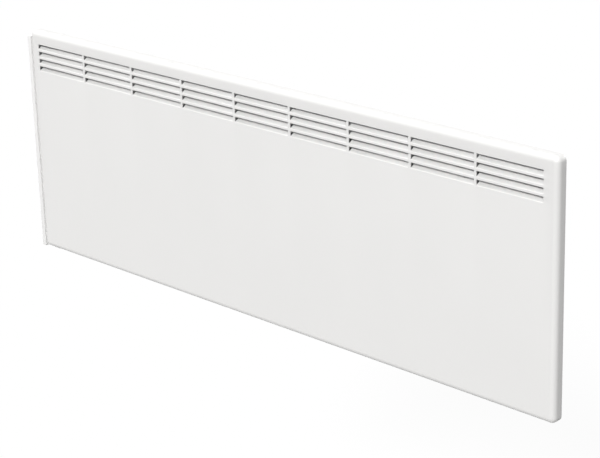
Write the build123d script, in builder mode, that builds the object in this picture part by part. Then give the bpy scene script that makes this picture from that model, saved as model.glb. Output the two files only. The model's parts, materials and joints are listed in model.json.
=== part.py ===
from build123d import *
import os
from math import cos, radians, sin

# Wall panel convector heater of the 1500 W class, hanging on its wall bracket.
# Millimetres, +Z up, +X to the right seen from the room, the room on the -Y side.
# The origin lies on the wall plane, in the middle of the bracket's four wall holes.

os.makedirs("parts", exist_ok=True)

# ---------------------------------------------------------------- driving dimensions
# Front panel: a pressed sheet-steel tray, open to the wall
PANEL_WIDTH = 1100.0
PANEL_HEIGHT = 381.0
PANEL_DEPTH = 18.0
PANEL_SHEET = 1.0
PANEL_CORNER_RADIUS = 14.0
PANEL_EDGE_RADIUS = 8.0
PANEL_HEM = 7.0  # return flange round the back of the tray
HEATER_DEPTH = 85.0  # wall to the panel's front face

# Outlet louvres: slots whose tongues are pressed inwards from their lower edges
LOUVRE_PITCH = 117.4
LOUVRE_BRIDGE = 4.0  # metal between two louvres of a row
LOUVRE_SIDE_MARGIN = 20.0  # least plain metal beside the louvre field
LOUVRE_TOP_MARGIN = 21.6
LOUVRE_ROWS = 4
LOUVRE_ROW_PITCH = 12.3
LOUVRE_SLOT = 8.3
LOUVRE_REACH = 8.9  # length of a tongue
LOUVRE_SLOPE = 30.0  # rise of a tongue from level, degrees

# Rear casing: a folded box, open to the panel and downwards
CASING_SHEET = 1.0
CASING_BACK_GAP = 26.0  # wall to the casing's back
CASING_INSET_LEFT = 20.0  # panel's end to the casing's end
CASING_INSET_RIGHT = 20.0
CASING_TAPER = 22.0  # how much shorter the right end is at the back, behind the shoulder
CASING_INSET_TOP = 17.0
CASING_INSET_BOTTOM = 17.0
CASING_REAR_DROP = 18.0  # the top is this much lower at the back
CASING_LEDGE = 18.0  # level part at the back of the top
CASING_SHOULDER = 14.0  # level part at the front of the top
CASING_FLANGE = 8.0
CASING_BEND = 4.0  # outer radius of the casing's long folds
BEAD_DEPTH = 1.5  # stiffening beads pressed out of the casing's back
BEAD_HEIGHT = 14.0
BEAD_END_GAP = 60.0  # hangers to the long beads
BEAD_SIDE_LENGTH = 110.0  # beads outside the hangers
BEAD_SPREAD = 60.0  # middle of the casing to each row of beads
BEAD_TAPER = 40.0

# Studs welded inside the panel, with nuts behind the casing's flange
STUD_RADIUS = 2.0
STUD_LENGTH = 8.0
STUD_COUNT = 6
STUD_END_GAP = 40.0  # casing's end to the first stud
NUT_ACROSS = 7.0
NUT_HEIGHT = 3.2
HOLE_PLAY = 0.2  # radial play of a screw or stud in its hole

# Air intake grille under the casing
GRILLE_LIP = 10.0
GRILLE_SLOT_LENGTH = 34.0
GRILLE_SLOT_WIDTH = 7.0
GRILLE_SLOT_PITCH_X = 44.0
GRILLE_SLOT_PITCH_Y = 13.0
GRILLE_ROWS = 3
GRILLE_MARGIN = 16.0
SCREW_RADIUS = 1.75
SCREW_HEAD_RADIUS = 3.6
SCREW_HEAD_HEIGHT = 2.2
SCREW_HEAD_TAPER = 20.0

# Tilting hinge: rods on the casing, hooks on the bracket
HINGE_RISE = 46.0  # panel's bottom edge to the hinge axis
HINGE_DEPTH = 7.0  # casing's back to the hinge axis
ROD_RADIUS = 2.5
ROD_PLAY = 0.06
HOOK_WALL = 3.0  # metal round the rod in a hook
HOOK_LIP = 3.5  # how far the hook's tip stands above the axis
HANGER_SHEET = 2.0
HANGER_HEIGHT = 28.0
HOOK_OPENING_ABOVE = 10.0  # casing's slot above the axis
HOOK_OPENING_BELOW = 16.0
HOOK_OPENING_SIDE_GAP = 3.75  # beside the upright's flanges

# Wall bracket
BRACKET_SHEET = 2.0
UPRIGHT_SPACING = 600.0
UPRIGHT_WIDTH = 38.5
UPRIGHT_SPINE = 12.0  # depth of the flanges between hook and top pad
UPRIGHT_PAD = 32.0  # height of the pad that the casing rests against
UPRIGHT_FOOT = 10.0  # below the hinge axis
UPRIGHT_TOP_GAP = 45.0  # panel's top to the upright's top
FIXING_END_GAP = 40.0  # upright's end to the wall hole
FIXING_HOLE_RADIUS = 3.5
RAIL_HEIGHT = 34.0
RAIL_LIP = 8.0
RAIL_END = 30.0  # rail beyond the upright's centre line
REST_GAP = 0.4  # bracket's front edges to the casing's back
RIVET_RADIUS = 2.0
RIVET_HEAD_RADIUS = 3.6
RIVET_HEAD_HEIGHT = 1.6
RIVET_TAPER = 35.0
RIVET_OFFSET = 12.0  # wall hole to the rivet beside it

# Sprung catches at the top of the bracket
CATCH_SHEET = 0.8
CATCH_WIDTH = 18.0
CATCH_LEG = 22.0
CATCH_RISE = 1.4  # tongue above the casing's ledge
CATCH_NOSE = 5.0  # depth of the nose in the casing
CATCH_LEAD = 3.5  # depth of the slope that lets the casing ride in
CATCH_REACH = 7.0  # casing's back to the nose
CATCH_PLAY = 0.5  # nose to the slot's back edge
CATCH_OPENING = 9.0  # length of the slot in the ledge
CATCH_SIDE_GAP = 3.0

# Heat shield between element and back
SHIELD_SHEET = 0.8
SHIELD_GAP = 19.2  # casing's back to the shield's front face
SHIELD_END_GAP = 12.0
SHIELD_TOP_GAP = 42.0  # below the casing's ledge
SHIELD_BOTTOM_GAP = 12.0
SHIELD_LIP = 9.0
STANDOFF_RADIUS = 4.0
STANDOFF_COLUMNS = 2  # between the hangers; one more stands beyond each hanger

# Heating element: a hairpin tube in a finned aluminium profile
ELEMENT_TUBE_RADIUS = 4.0
ELEMENT_LEG_SPACING = 32.0
ELEMENT_RISE = 54.0  # casing's bottom to the middle of the element
ELEMENT_FORWARD = 0.4  # element's centre plane in front of the middle of its space
ELEMENT_END_GAP = 14.0  # casing's right end to the bend's outside
ELEMENT_COLD_END = 22.0  # casing's left end to the tube's end
FIN_THICKNESS = 1.6
FIN_REACH = 17.0
FIN_BOSS_RADIUS = 6.5
FIN_ANGLE = 38.0
FIN_END_GAP = 12.0
ELEMENT_HANGER_SHEET = 1.5
ELEMENT_HANGER_WIDTH = 26.0
SEAL_RADIUS = 6.0
SEAL_LENGTH = 14.0
PIN_RADIUS = 1.5
PIN_LENGTH = 8.0

# Overheat cut-out on the heat shield
CUTOUT_RADIUS = 8.0
CUTOUT_DEPTH = 9.0
CUTOUT_FLANGE_RADIUS = 11.0
CUTOUT_FROM_END = 74.0
CUTOUT_RISE = 212.0  # casing's bottom to the cut-out
TAB_WIDTH = 6.0
TAB_LENGTH = 8.0
TAB_THICKNESS = 0.8
CLAMP_EAR = 10.4  # clamp beyond the cut-out's flange
CLAMP_WIDTH = 16.0

# Control box behind the panel's left end
BOX_OVERHANG = 21.0  # beyond the panel's end
BOX_DROP = 8.0  # below the panel's bottom
BOX_TOP_GAP = 14.4  # below the panel's top
BOX_WALL = 2.5
BOX_GAP = 0.5  # behind the panel's hem
BOX_EDGE_RADIUS = 2.0
VENT_LENGTH = 12.0  # slots in the box's top and bottom
VENT_WIDTH = 2.4
VENT_PITCH = 5.2
VENT_COUNT = 5
CAP_DEPTH = 18.0
RIDGE_HEIGHT = 6.2  # ridge along the cap's front, in front of the rest of the box
RIDGE_WIDTH = 9.0
CAP_LIP = 4.0
CAP_LIP_PLAY = 0.2
CAP_SCREW_INSET = 18.0
CAP_SCREW_HEAD = 1.3
BASE_SCREW_RISE = 45.0  # box's bottom to the lowest screw into the casing
BASE_SCREW_DROP = 27.0  # box's top to the highest
POST_RADIUS = 4.5

# Thermostat
THERMOSTAT_DROP = 56.0  # box's top to the shaft
THERMOSTAT_WIDTH = 28.0
THERMOSTAT_HEIGHT = 34.0
THERMOSTAT_DEPTH = 18.0
THERMOSTAT_CORNER = 5.0
DISH_RADIUS = 17.0
DISH_DEPTH = 8.5
BUSH_RADIUS = 5.0
BUSH_LENGTH = 4.8
BUSH_NUT_ACROSS = 12.0
BUSH_NUT_HEIGHT = 2.0
SHAFT_RADIUS = 3.0
SHAFT_PLAY = 0.08
KNOB_RADIUS = 14.5
KNOB_DISC = 2.5
KNOB_SKIRT = 2.0
KNOB_GRIP_WIDTH = 6.0
KNOB_GRIP_HEIGHT = 3.2
KNOB_FLOOR_GAP = 0.6  # skirt above the dish's floor
KNOB_DRAFT = 6.0

# Rocker switch
SWITCH_DROP = 116.0  # box's top to the switch's centre
BEZEL_WIDTH = 21.0
BEZEL_HEIGHT = 30.0
BEZEL_THICKNESS = 2.0
SWITCH_BODY_WIDTH = 18.6
SWITCH_BODY_HEIGHT = 27.0
SWITCH_BODY_DEPTH = 20.0
SWITCH_WELL = 11.0  # bezel's face to the floor of the rocker's well
ROCKER_WIDTH = 14.0
ROCKER_LENGTH = 22.0
ROCKER_SWING = 8.0  # each way, degrees
ROCKER_PIVOT_DEPTH = 5.0  # below the bezel's face
ROCKER_PIN_RADIUS = 1.5
ROCKER_PIN_PLAY = 0.08
ROCKER_PIN_LENGTH = 1.6
ROCKER_SIDE_GAP = 0.4
ROCKER_RISE = 3.0  # pivot to the outer corners of its ends
ROCKER_END = 1.75  # height of its ends
ROCKER_HOLLOW = 1.0  # depth of the hollow in its face
ROCKER_KEEL = 2.5  # pivot to its underside
ROCKER_KEEL_LENGTH = 8.8

# Mains connection
TERMINAL_WIDTH = 20.0
TERMINAL_DEPTH = 28.0
TERMINAL_HEIGHT = 34.0
TERMINAL_RISE = 84.0  # box's bottom to the block's centre
GLAND_RISE = 34.0
GLAND_BORE_RADIUS = 4.2
GLAND_RADIUS = 6.0
GLAND_HEAD_RADIUS = 9.0
GLAND_HEAD = 9.0
GLAND_TAIL = 9.0
GLAND_NUT_ACROSS = 15.0
GLAND_NUT_HEIGHT = 4.0
EARTH_RISE = 124.0
EARTH_STUD_LENGTH = 12.0
GROMMET_RISE = 154.0
GROMMET_BORE_RADIUS = 5.0
GROMMET_NECK_RADIUS = 7.0
GROMMET_HEAD_RADIUS = 9.0
GROMMET_HEAD = 2.0

# Wiring
WIRE_RADIUS = 1.2
WIRE_BEND = 3.0
WIRE_PLAY = 0.5  # wire to the wall that it runs along
WIRE_LANE = 3.0  # between two wires that run side by side
WIRE_INSET = 5.5  # box's right wall to the nearest wire
WIRE_FORWARD = 10.0  # wires inside the casing in front of the tabs that they reach
WIRE_SLACK = 16.0
LOAD_RUN = 24.0  # casing's side to the bend of the wire to the cut-out
NEUTRAL_RUN = 11.0
LINK_RUN = 39.0  # straight end of the wire from the cut-out, above its pin
WIRE_RISE = 6.0  # terminal block to the first bend of the wires above it
SLEEVE_THICKNESS = 2.8  # push-on sleeve on a tab
SLEEVE_HEIGHT = 7.6
SLEEVE_LENGTH = 9.0
SLEEVE_END = 2.0
CRIMP_RADIUS = 2.2
CRIMP_LENGTH = 7.0
CRIMP_END = 3.0
LUG_RADIUS = 5.5
LUG_THICKNESS = 1.0

# ---------------------------------------------------------------- places worked out from them
panel_front = -HEATER_DEPTH
panel_inside = panel_front + PANEL_SHEET
panel_back = panel_front + PANEL_DEPTH
upright_length = PANEL_HEIGHT - UPRIGHT_TOP_GAP - HINGE_RISE + UPRIGHT_FOOT
upright_bottom = -upright_length / 2
upright_top = upright_length / 2
hinge_z = upright_bottom + UPRIGHT_FOOT
panel_bottom = hinge_z - HINGE_RISE
panel_top = panel_bottom + PANEL_HEIGHT
panel_middle = (panel_bottom + panel_top) / 2
panel_left = -PANEL_WIDTH / 2
panel_right = PANEL_WIDTH / 2

casing_back = -CASING_BACK_GAP
hinge_y = casing_back - HINGE_DEPTH
casing_left = panel_left + CASING_INSET_LEFT
casing_right = panel_right - CASING_INSET_RIGHT
casing_right_back = casing_right - CASING_TAPER
casing_length = casing_right - casing_left
casing_middle = (casing_left + casing_right) / 2
casing_bottom = panel_bottom + CASING_INSET_BOTTOM
casing_top = panel_top - CASING_INSET_TOP
ledge_top = casing_top - CASING_REAR_DROP
casing_inner_back = casing_back - CASING_SHEET
flange_back = panel_inside + CASING_SHEET
taper_front = panel_inside + CASING_SHOULDER
upright_places = (-UPRIGHT_SPACING / 2, UPRIGHT_SPACING / 2)
fixing_z = upright_length / 2 - FIXING_END_GAP

shield_front = casing_back - SHIELD_GAP
shield_back = shield_front + SHIELD_SHEET
shield_left = casing_left + SHIELD_END_GAP
shield_right = casing_right_back - SHIELD_END_GAP
shield_top = ledge_top - SHIELD_TOP_GAP
shield_bottom = casing_bottom + SHIELD_BOTTOM_GAP
ear_inner = UPRIGHT_WIDTH / 2 + HOOK_OPENING_SIDE_GAP + HANGER_SHEET
hanger_half = ear_inner + HANGER_SHEET
column_places = [
    (shield_left + upright_places[0] - hanger_half) / 2,
    *[(step / (STANDOFF_COLUMNS + 1) - 0.5) * UPRIGHT_SPACING for step in range(1, STANDOFF_COLUMNS + 1)],
    (shield_right + upright_places[1] + hanger_half) / 2,
]

element_y = (panel_inside + shield_front) / 2 - ELEMENT_FORWARD
element_z = casing_bottom + ELEMENT_RISE
leg_low = element_z - ELEMENT_LEG_SPACING / 2
leg_high = element_z + ELEMENT_LEG_SPACING / 2
bend_x = casing_right_back - ELEMENT_END_GAP - ELEMENT_LEG_SPACING / 2 - ELEMENT_TUBE_RADIUS
tube_end = casing_left + ELEMENT_COLD_END

box_left = panel_left - BOX_OVERHANG
box_front = panel_back + BOX_GAP
box_back = casing_back
box_bottom = panel_bottom - BOX_DROP
box_top = panel_top - BOX_TOP_GAP
box_height = box_top - box_bottom
box_middle_y = (box_front + box_back) / 2
box_middle_z = (box_bottom + box_top) / 2
box_thick = box_back - box_front
cap_right = box_left + CAP_DEPTH
thermostat_z = box_top - THERMOSTAT_DROP
dish_floor = box_left + DISH_DEPTH
thermostat_face = dish_floor + BOX_WALL
switch_z = box_top - SWITCH_DROP
bezel_seat = box_left + BEZEL_THICKNESS
rocker_x = box_left + ROCKER_PIVOT_DEPTH
base_wall = casing_left - BOX_WALL  # inner face of the box's right wall
terminal_z = box_bottom + TERMINAL_RISE
gland_z = box_bottom + GLAND_RISE
gland_x = (cap_right + CAP_LIP + base_wall) / 2
earth_z = box_bottom + EARTH_RISE
grommet_z = box_bottom + GROMMET_RISE


def facing_room(y):
    """Sketch plane at depth y: local x is X and local y is Z."""
    return Plane.XZ.offset(-y)


def across(x):
    """Sketch plane at length x: local x is Y and local y is Z."""
    return Plane.YZ.offset(x)


# ---------------------------------------------------------------- front panel
louvre_columns = int((PANEL_WIDTH - 2 * LOUVRE_SIDE_MARGIN + LOUVRE_BRIDGE) / LOUVRE_PITCH)
louvre_length = LOUVRE_PITCH - LOUVRE_BRIDGE
louvre_lefts = [
    (column - (louvre_columns - 1) / 2) * LOUVRE_PITCH - louvre_length / 2
    for column in range(louvre_columns)
]
louvre_bottoms = [
    panel_top - LOUVRE_TOP_MARGIN - LOUVRE_SLOT - row * LOUVRE_ROW_PITCH
    for row in range(LOUVRE_ROWS)
]
louvre_middle = (louvre_bottoms[0] + louvre_bottoms[-1] + LOUVRE_SLOT) / 2
slope_y = cos(radians(LOUVRE_SLOPE))
slope_z = sin(radians(LOUVRE_SLOPE))
stud_places = [
    (casing_left + STUD_END_GAP + step * (casing_length - 2 * STUD_END_GAP) / (STUD_COUNT - 1), z)
    for z in (casing_bottom - CASING_FLANGE / 2, casing_top + CASING_FLANGE / 2)
    for step in range(STUD_COUNT)
]

with BuildPart() as front_panel:
    with BuildSketch(facing_room(panel_back)):
        with Locations((0, panel_middle)):
            Rectangle(PANEL_WIDTH, PANEL_HEIGHT)
    extrude(amount=PANEL_DEPTH)
    fillet(front_panel.edges().filter_by(Axis.Y), PANEL_CORNER_RADIUS)
    fillet(front_panel.faces().sort_by(Axis.Y)[0].edges(), PANEL_EDGE_RADIUS)
    offset(amount=-PANEL_SHEET, openings=front_panel.faces().sort_by(Axis.Y)[-1])
    with BuildSketch(facing_room(panel_back)):
        with Locations((0, panel_middle)):
            RectangleRounded(
                PANEL_WIDTH - PANEL_SHEET,
                PANEL_HEIGHT - PANEL_SHEET,
                PANEL_CORNER_RADIUS - PANEL_SHEET / 2,
            )
            RectangleRounded(
                PANEL_WIDTH - 2 * PANEL_HEM,
                PANEL_HEIGHT - 2 * PANEL_HEM,
                PANEL_CORNER_RADIUS - PANEL_HEM,
                mode=Mode.SUBTRACT,
            )
    extrude(amount=PANEL_SHEET)
    with BuildSketch(facing_room(panel_inside)):
        with Locations((0, louvre_middle)):
            with GridLocations(LOUVRE_PITCH, LOUVRE_ROW_PITCH, louvre_columns, LOUVRE_ROWS):
                Rectangle(louvre_length, LOUVRE_SLOT)
    extrude(amount=PANEL_SHEET, mode=Mode.SUBTRACT)
    with BuildSketch(*[across(x) for x in louvre_lefts]):
        with Locations(*[(panel_front, z) for z in louvre_bottoms]):
            Polygon(
                (0, 0),
                (LOUVRE_REACH * slope_y, LOUVRE_REACH * slope_z),
                (LOUVRE_REACH * slope_y + PANEL_SHEET * slope_z,
                 LOUVRE_REACH * slope_z - PANEL_SHEET * slope_y),
                (PANEL_SHEET, -PANEL_SHEET * slope_y + PANEL_SHEET * slope_z / 2),
                align=None,
            )
    extrude(amount=louvre_length)
front_panel.part.label = "front_panel"
export_step(front_panel.part, "parts/front_panel.step")

with BuildPart() as panel_studs:
    with BuildSketch(facing_room(panel_inside)):
        with Locations(*stud_places):
            Circle(STUD_RADIUS)
    extrude(amount=-STUD_LENGTH)
panel_studs.part.label = "panel_studs"
export_step(panel_studs.part, "parts/panel_studs.step")

with BuildPart() as panel_nuts:
    with BuildSketch(facing_room(flange_back)):
        with Locations(*stud_places):
            RegularPolygon(NUT_ACROSS / 2, 6, major_radius=False)
            Circle(STUD_RADIUS, mode=Mode.SUBTRACT)
    extrude(amount=-NUT_HEIGHT)
panel_nuts.part.label = "panel_nuts"
export_step(panel_nuts.part, "parts/panel_nuts.step")

# ---------------------------------------------------------------- rear casing
catch_slot_back = casing_back - CATCH_REACH + CATCH_SHEET + CATCH_PLAY
base_screw_places = [
    (box_middle_y, z)
    for z in (box_bottom + BASE_SCREW_RISE, box_middle_z, box_top - BASE_SCREW_DROP)
]
grille_screw_places = [(x, casing_bottom + GRILLE_LIP / 2) for x in column_places]
bead_length = UPRIGHT_SPACING - 2 * hanger_half - 2 * BEAD_END_GAP
bead_rows = [(casing_bottom + casing_top) / 2 + side * BEAD_SPREAD for side in (-1, 1)]
bead_places = [(x, z) for x in (column_places[0], 0, column_places[-1]) for z in bead_rows]

with BuildPart() as rear_casing:
    with BuildSketch(across(casing_left)):
        Polygon(
            (panel_inside, casing_bottom),
            (casing_back, casing_bottom),
            (casing_back, ledge_top),
            (casing_back - CASING_LEDGE, ledge_top),
            (panel_inside + CASING_SHOULDER, casing_top),
            (panel_inside, casing_top),
            align=None,
        )
    extrude(amount=casing_length)
    with BuildSketch(Plane.XY.offset(casing_bottom)):
        Polygon(
            (casing_right, taper_front),
            (casing_right, casing_back),
            (casing_right_back, casing_back),
            align=None,
        )
    extrude(amount=casing_top - casing_bottom, mode=Mode.SUBTRACT)
    long_folds = rear_casing.edges().filter_by(Axis.X).sort_by(Axis.Z)[2:]
    fillet(long_folds.sort_by(Axis.Y)[1:], CASING_BEND)
    open_faces = [rear_casing.faces().sort_by(Axis.Y)[0], rear_casing.faces().sort_by(Axis.Z)[0]]
    offset(amount=-CASING_SHEET, openings=open_faces)
    with BuildSketch(facing_room(flange_back)):
        with Locations((casing_middle, (casing_bottom + casing_top) / 2)):
            RectangleRounded(
                casing_length + 2 * CASING_FLANGE,
                casing_top - casing_bottom + 2 * CASING_FLANGE,
                CASING_FLANGE,
            )
            Rectangle(
                casing_length - 2 * CASING_SHEET,
                casing_top - casing_bottom - 2 * CASING_SHEET,
                mode=Mode.SUBTRACT,
            )
        with Locations(*stud_places):
            Circle(STUD_RADIUS + HOLE_PLAY, mode=Mode.SUBTRACT)
    extrude(amount=CASING_SHEET)
    with BuildSketch(facing_room(casing_back)):
        with Locations(*[
            (x, hinge_z + (HOOK_OPENING_ABOVE - HOOK_OPENING_BELOW) / 2) for x in upright_places
        ]):
            RectangleRounded(
                UPRIGHT_WIDTH + 2 * HOOK_OPENING_SIDE_GAP,
                HOOK_OPENING_ABOVE + HOOK_OPENING_BELOW,
                HOOK_WALL,
            )
        with Locations(*grille_screw_places):
            Circle(SCREW_RADIUS + HOLE_PLAY)
    extrude(amount=CASING_SHEET, mode=Mode.SUBTRACT)
    for y, inset, mode in (
        (casing_back, 0, Mode.ADD),
        (casing_inner_back, CASING_SHEET, Mode.SUBTRACT),
    ):
        for x, z in bead_places:
            with BuildSketch(facing_room(y)):
                with Locations((x, z)):
                    SlotOverall((BEAD_SIDE_LENGTH if x else bead_length) - inset, BEAD_HEIGHT - inset)
            extrude(amount=-BEAD_DEPTH, taper=BEAD_TAPER, mode=mode)
    with BuildSketch(Plane.XY.offset(ledge_top)):
        with Locations(*[(x, catch_slot_back - CATCH_OPENING / 2) for x in upright_places]):
            Rectangle(CATCH_WIDTH + 2 * CATCH_SIDE_GAP, CATCH_OPENING)
    extrude(amount=-2 * CASING_SHEET, mode=Mode.SUBTRACT)
    with BuildSketch(across(casing_left)):
        with Locations(*base_screw_places):
            Circle(SCREW_RADIUS)
        with Locations((box_middle_y, grommet_z)):
            Circle(GROMMET_NECK_RADIUS)
        with Locations((box_middle_y, earth_z)):
            Circle(STUD_RADIUS)
    extrude(amount=CASING_SHEET, mode=Mode.SUBTRACT)
rear_casing.part.label = "rear_casing"
export_step(rear_casing.part, "parts/rear_casing.step")

# ---------------------------------------------------------------- air intake grille
grille_left = casing_left + CASING_SHEET
grille_front = flange_back
grille_right = casing_right - CASING_SHEET * 2
grille_right_back = casing_right_back - CASING_SHEET * 2
grille_columns = int((grille_right_back - grille_left - 2 * GRILLE_MARGIN) / GRILLE_SLOT_PITCH_X)
grille_middle = ((grille_left + grille_right_back) / 2, (grille_front + casing_inner_back) / 2)

with BuildPart() as intake_grille:
    with BuildSketch(Plane.XY.offset(casing_bottom)):
        Polygon(
            (grille_left, grille_front),
            (grille_right, grille_front),
            (grille_right, taper_front),
            (grille_right_back, casing_inner_back),
            (grille_left, casing_inner_back),
            align=None,
        )
        with Locations(grille_middle):
            with GridLocations(
                GRILLE_SLOT_PITCH_X, GRILLE_SLOT_PITCH_Y, grille_columns, GRILLE_ROWS
            ):
                Rectangle(GRILLE_SLOT_LENGTH, GRILLE_SLOT_WIDTH, mode=Mode.SUBTRACT)
    extrude(amount=CASING_SHEET)
    with BuildSketch(Plane.XY.offset(casing_bottom)):
        with Locations(
            (grille_middle[0], grille_front + CASING_SHEET / 2),
            (grille_middle[0], casing_inner_back - CASING_SHEET / 2),
        ):
            Rectangle(grille_right_back - grille_left, CASING_SHEET)
    extrude(amount=GRILLE_LIP)
    with BuildSketch(facing_room(casing_inner_back)):
        with Locations(*grille_screw_places):
            Circle(SCREW_RADIUS)
    extrude(amount=CASING_SHEET, mode=Mode.SUBTRACT)
intake_grille.part.label = "intake_grille"
export_step(intake_grille.part, "parts/intake_grille.step")

with BuildPart() as grille_screws:
    with BuildSketch(facing_room(casing_back)):
        with Locations(*grille_screw_places):
            Circle(SCREW_HEAD_RADIUS)
    extrude(amount=-SCREW_HEAD_HEIGHT, taper=SCREW_HEAD_TAPER)
    with BuildSketch(facing_room(casing_back)):
        with Locations(*grille_screw_places):
            Circle(SCREW_RADIUS)
    extrude(amount=2 * CASING_SHEET + 2 * SCREW_RADIUS)
grille_screws.part.label = "grille_screws"
export_step(grille_screws.part, "parts/grille_screws.step")

# ---------------------------------------------------------------- hinge on the casing
rod_half = hanger_half + ROD_RADIUS
hanger_foot = hinge_z + HOOK_OPENING_ABOVE + HANGER_SHEET

with BuildPart() as hinge_rods:
    with BuildSketch(*[across(x - rod_half) for x in upright_places]):
        with Locations((hinge_y, hinge_z)):
            Circle(ROD_RADIUS)
    extrude(amount=2 * rod_half)
hinge_rods.part.label = "hinge_rods"
export_step(hinge_rods.part, "parts/hinge_rods.step")

with BuildPart() as hanger_brackets:
    with BuildSketch(facing_room(casing_inner_back)):
        with Locations(*[(x, hanger_foot + HANGER_HEIGHT / 2) for x in upright_places]):
            Rectangle(2 * hanger_half, HANGER_HEIGHT)
    extrude(amount=HANGER_SHEET)
    ear_places = [
        x + side
        for x in upright_places
        for side in (-hanger_half, ear_inner)
    ]
    with BuildSketch(*[across(x) for x in ear_places]):
        Polygon(
            (casing_inner_back, hanger_foot + HANGER_HEIGHT),
            (casing_inner_back - HANGER_SHEET, hanger_foot + HANGER_HEIGHT),
            (hinge_y - ROD_RADIUS - HOOK_WALL, hinge_z + HOOK_OPENING_ABOVE),
            (hinge_y - ROD_RADIUS - HOOK_WALL, hinge_z - ROD_RADIUS - HOOK_WALL),
            (casing_inner_back, hinge_z - ROD_RADIUS - HOOK_WALL),
            align=None,
        )
        with Locations((hinge_y, hinge_z)):
            Circle(ROD_RADIUS, mode=Mode.SUBTRACT)
    extrude(amount=HANGER_SHEET)
hanger_brackets.part.label = "hanger_brackets"
export_step(hanger_brackets.part, "parts/hanger_brackets.step")

# ---------------------------------------------------------------- heat shield
cutout_x = casing_left + CUTOUT_FROM_END
cutout_z = casing_bottom + CUTOUT_RISE
clamp_rivet_places = [
    (cutout_x, cutout_z + side * (CUTOUT_FLANGE_RADIUS + CLAMP_EAR / 2)) for side in (-1, 1)
]
standoff_places = [
    (x, z)
    for x in column_places
    for z in (shield_bottom + 2 * SHIELD_LIP, shield_top - 2 * SHIELD_LIP)
]

with BuildPart() as heat_shield:
    with BuildSketch(across(shield_left)):
        with BuildLine():
            FilletPolyline(
                (shield_back + SHIELD_LIP, shield_bottom),
                (shield_back, shield_bottom),
                (shield_back, shield_top),
                (shield_back + SHIELD_LIP, shield_top + SHIELD_LIP / 2),
                radius=SHIELD_SHEET * 2,
            )
            offset(amount=SHIELD_SHEET, side=Side.LEFT)
        make_face()
    extrude(amount=shield_right - shield_left)
    with BuildSketch(facing_room(shield_back)):
        with Locations(*standoff_places, *clamp_rivet_places):
            Circle(RIVET_RADIUS)
    extrude(amount=SHIELD_SHEET, mode=Mode.SUBTRACT)
heat_shield.part.label = "heat_shield"
export_step(heat_shield.part, "parts/heat_shield.step")

with BuildPart() as shield_standoffs:
    with BuildSketch(facing_room(casing_inner_back)):
        with Locations(*standoff_places):
            Circle(STANDOFF_RADIUS)
    extrude(amount=casing_inner_back - shield_back)
    with BuildSketch(facing_room(shield_back)):
        with Locations(*standoff_places):
            Circle(RIVET_RADIUS)
    extrude(amount=SHIELD_SHEET)
    with BuildSketch(facing_room(shield_front)):
        with Locations(*standoff_places):
            Circle(RIVET_HEAD_RADIUS)
    extrude(amount=RIVET_HEAD_HEIGHT, taper=RIVET_TAPER)
shield_standoffs.part.label = "shield_standoffs"
export_step(shield_standoffs.part, "parts/shield_standoffs.step")

# ---------------------------------------------------------------- heating element
hanger_right = bend_x - ELEMENT_HANGER_SHEET * 2
hanger_left = tube_end + SEAL_LENGTH
fin_left = hanger_left + ELEMENT_HANGER_SHEET + FIN_END_GAP
fin_right = hanger_right - FIN_END_GAP

with BuildPart() as element_tube:
    with BuildLine():
        Line((tube_end, element_y, leg_low), (bend_x, element_y, leg_low))
        ThreePointArc(
            (bend_x, element_y, leg_low),
            (bend_x + ELEMENT_LEG_SPACING / 2, element_y, element_z),
            (bend_x, element_y, leg_high),
        )
        Line((bend_x, element_y, leg_high), (tube_end, element_y, leg_high))
    with BuildSketch(across(tube_end)):
        with Locations((element_y, leg_low)):
            Circle(ELEMENT_TUBE_RADIUS)
    sweep()
element_tube.part.label = "element_tube"
export_step(element_tube.part, "parts/element_tube.step")

with BuildPart() as element_fins:
    with BuildSketch(across(fin_left)):
        with Locations((element_y, element_z)):
            Rectangle(2 * FIN_THICKNESS, ELEMENT_LEG_SPACING)
        with Locations((element_y, leg_low), (element_y, leg_high)):
            Circle(FIN_BOSS_RADIUS)
            Rectangle(2 * FIN_REACH, FIN_THICKNESS, rotation=FIN_ANGLE)
            Rectangle(2 * FIN_REACH, FIN_THICKNESS, rotation=-FIN_ANGLE)
            Circle(ELEMENT_TUBE_RADIUS, mode=Mode.SUBTRACT)
    extrude(amount=fin_right - fin_left)
element_fins.part.label = "element_fins"
export_step(element_fins.part, "parts/element_fins.step")

with BuildPart() as element_hangers:
    with BuildSketch(across(hanger_left), across(hanger_right)):
        with Locations(((element_y + shield_front) / 2 - ELEMENT_TUBE_RADIUS, element_z)):
            Rectangle(
                shield_front - element_y + 2 * ELEMENT_TUBE_RADIUS,
                ELEMENT_LEG_SPACING + 4 * ELEMENT_TUBE_RADIUS,
            )
        with Locations((element_y, leg_low), (element_y, leg_high)):
            Circle(ELEMENT_TUBE_RADIUS, mode=Mode.SUBTRACT)
    extrude(amount=ELEMENT_HANGER_SHEET)
    with BuildSketch(facing_room(shield_front)):
        with Locations(
            (hanger_left + FIN_END_GAP / 2, element_z),
            (hanger_right + ELEMENT_HANGER_SHEET - FIN_END_GAP / 2, element_z),
        ):
            Rectangle(FIN_END_GAP, ELEMENT_HANGER_WIDTH)
    extrude(amount=ELEMENT_HANGER_SHEET)
element_hangers.part.label = "element_hangers"
export_step(element_hangers.part, "parts/element_hangers.step")

with BuildPart() as element_end_seals:
    with BuildSketch(across(tube_end)):
        with Locations((element_y, leg_low), (element_y, leg_high)):
            Circle(SEAL_RADIUS)
            Circle(ELEMENT_TUBE_RADIUS, mode=Mode.SUBTRACT)
    extrude(amount=SEAL_LENGTH)
    with BuildSketch(across(tube_end)):
        with Locations((element_y, leg_low), (element_y, leg_high)):
            Circle(SEAL_RADIUS)
            Circle(PIN_RADIUS, mode=Mode.SUBTRACT)
    extrude(amount=-PIN_RADIUS)
element_end_seals.part.label = "element_end_seals"
export_step(element_end_seals.part, "parts/element_end_seals.step")

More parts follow.
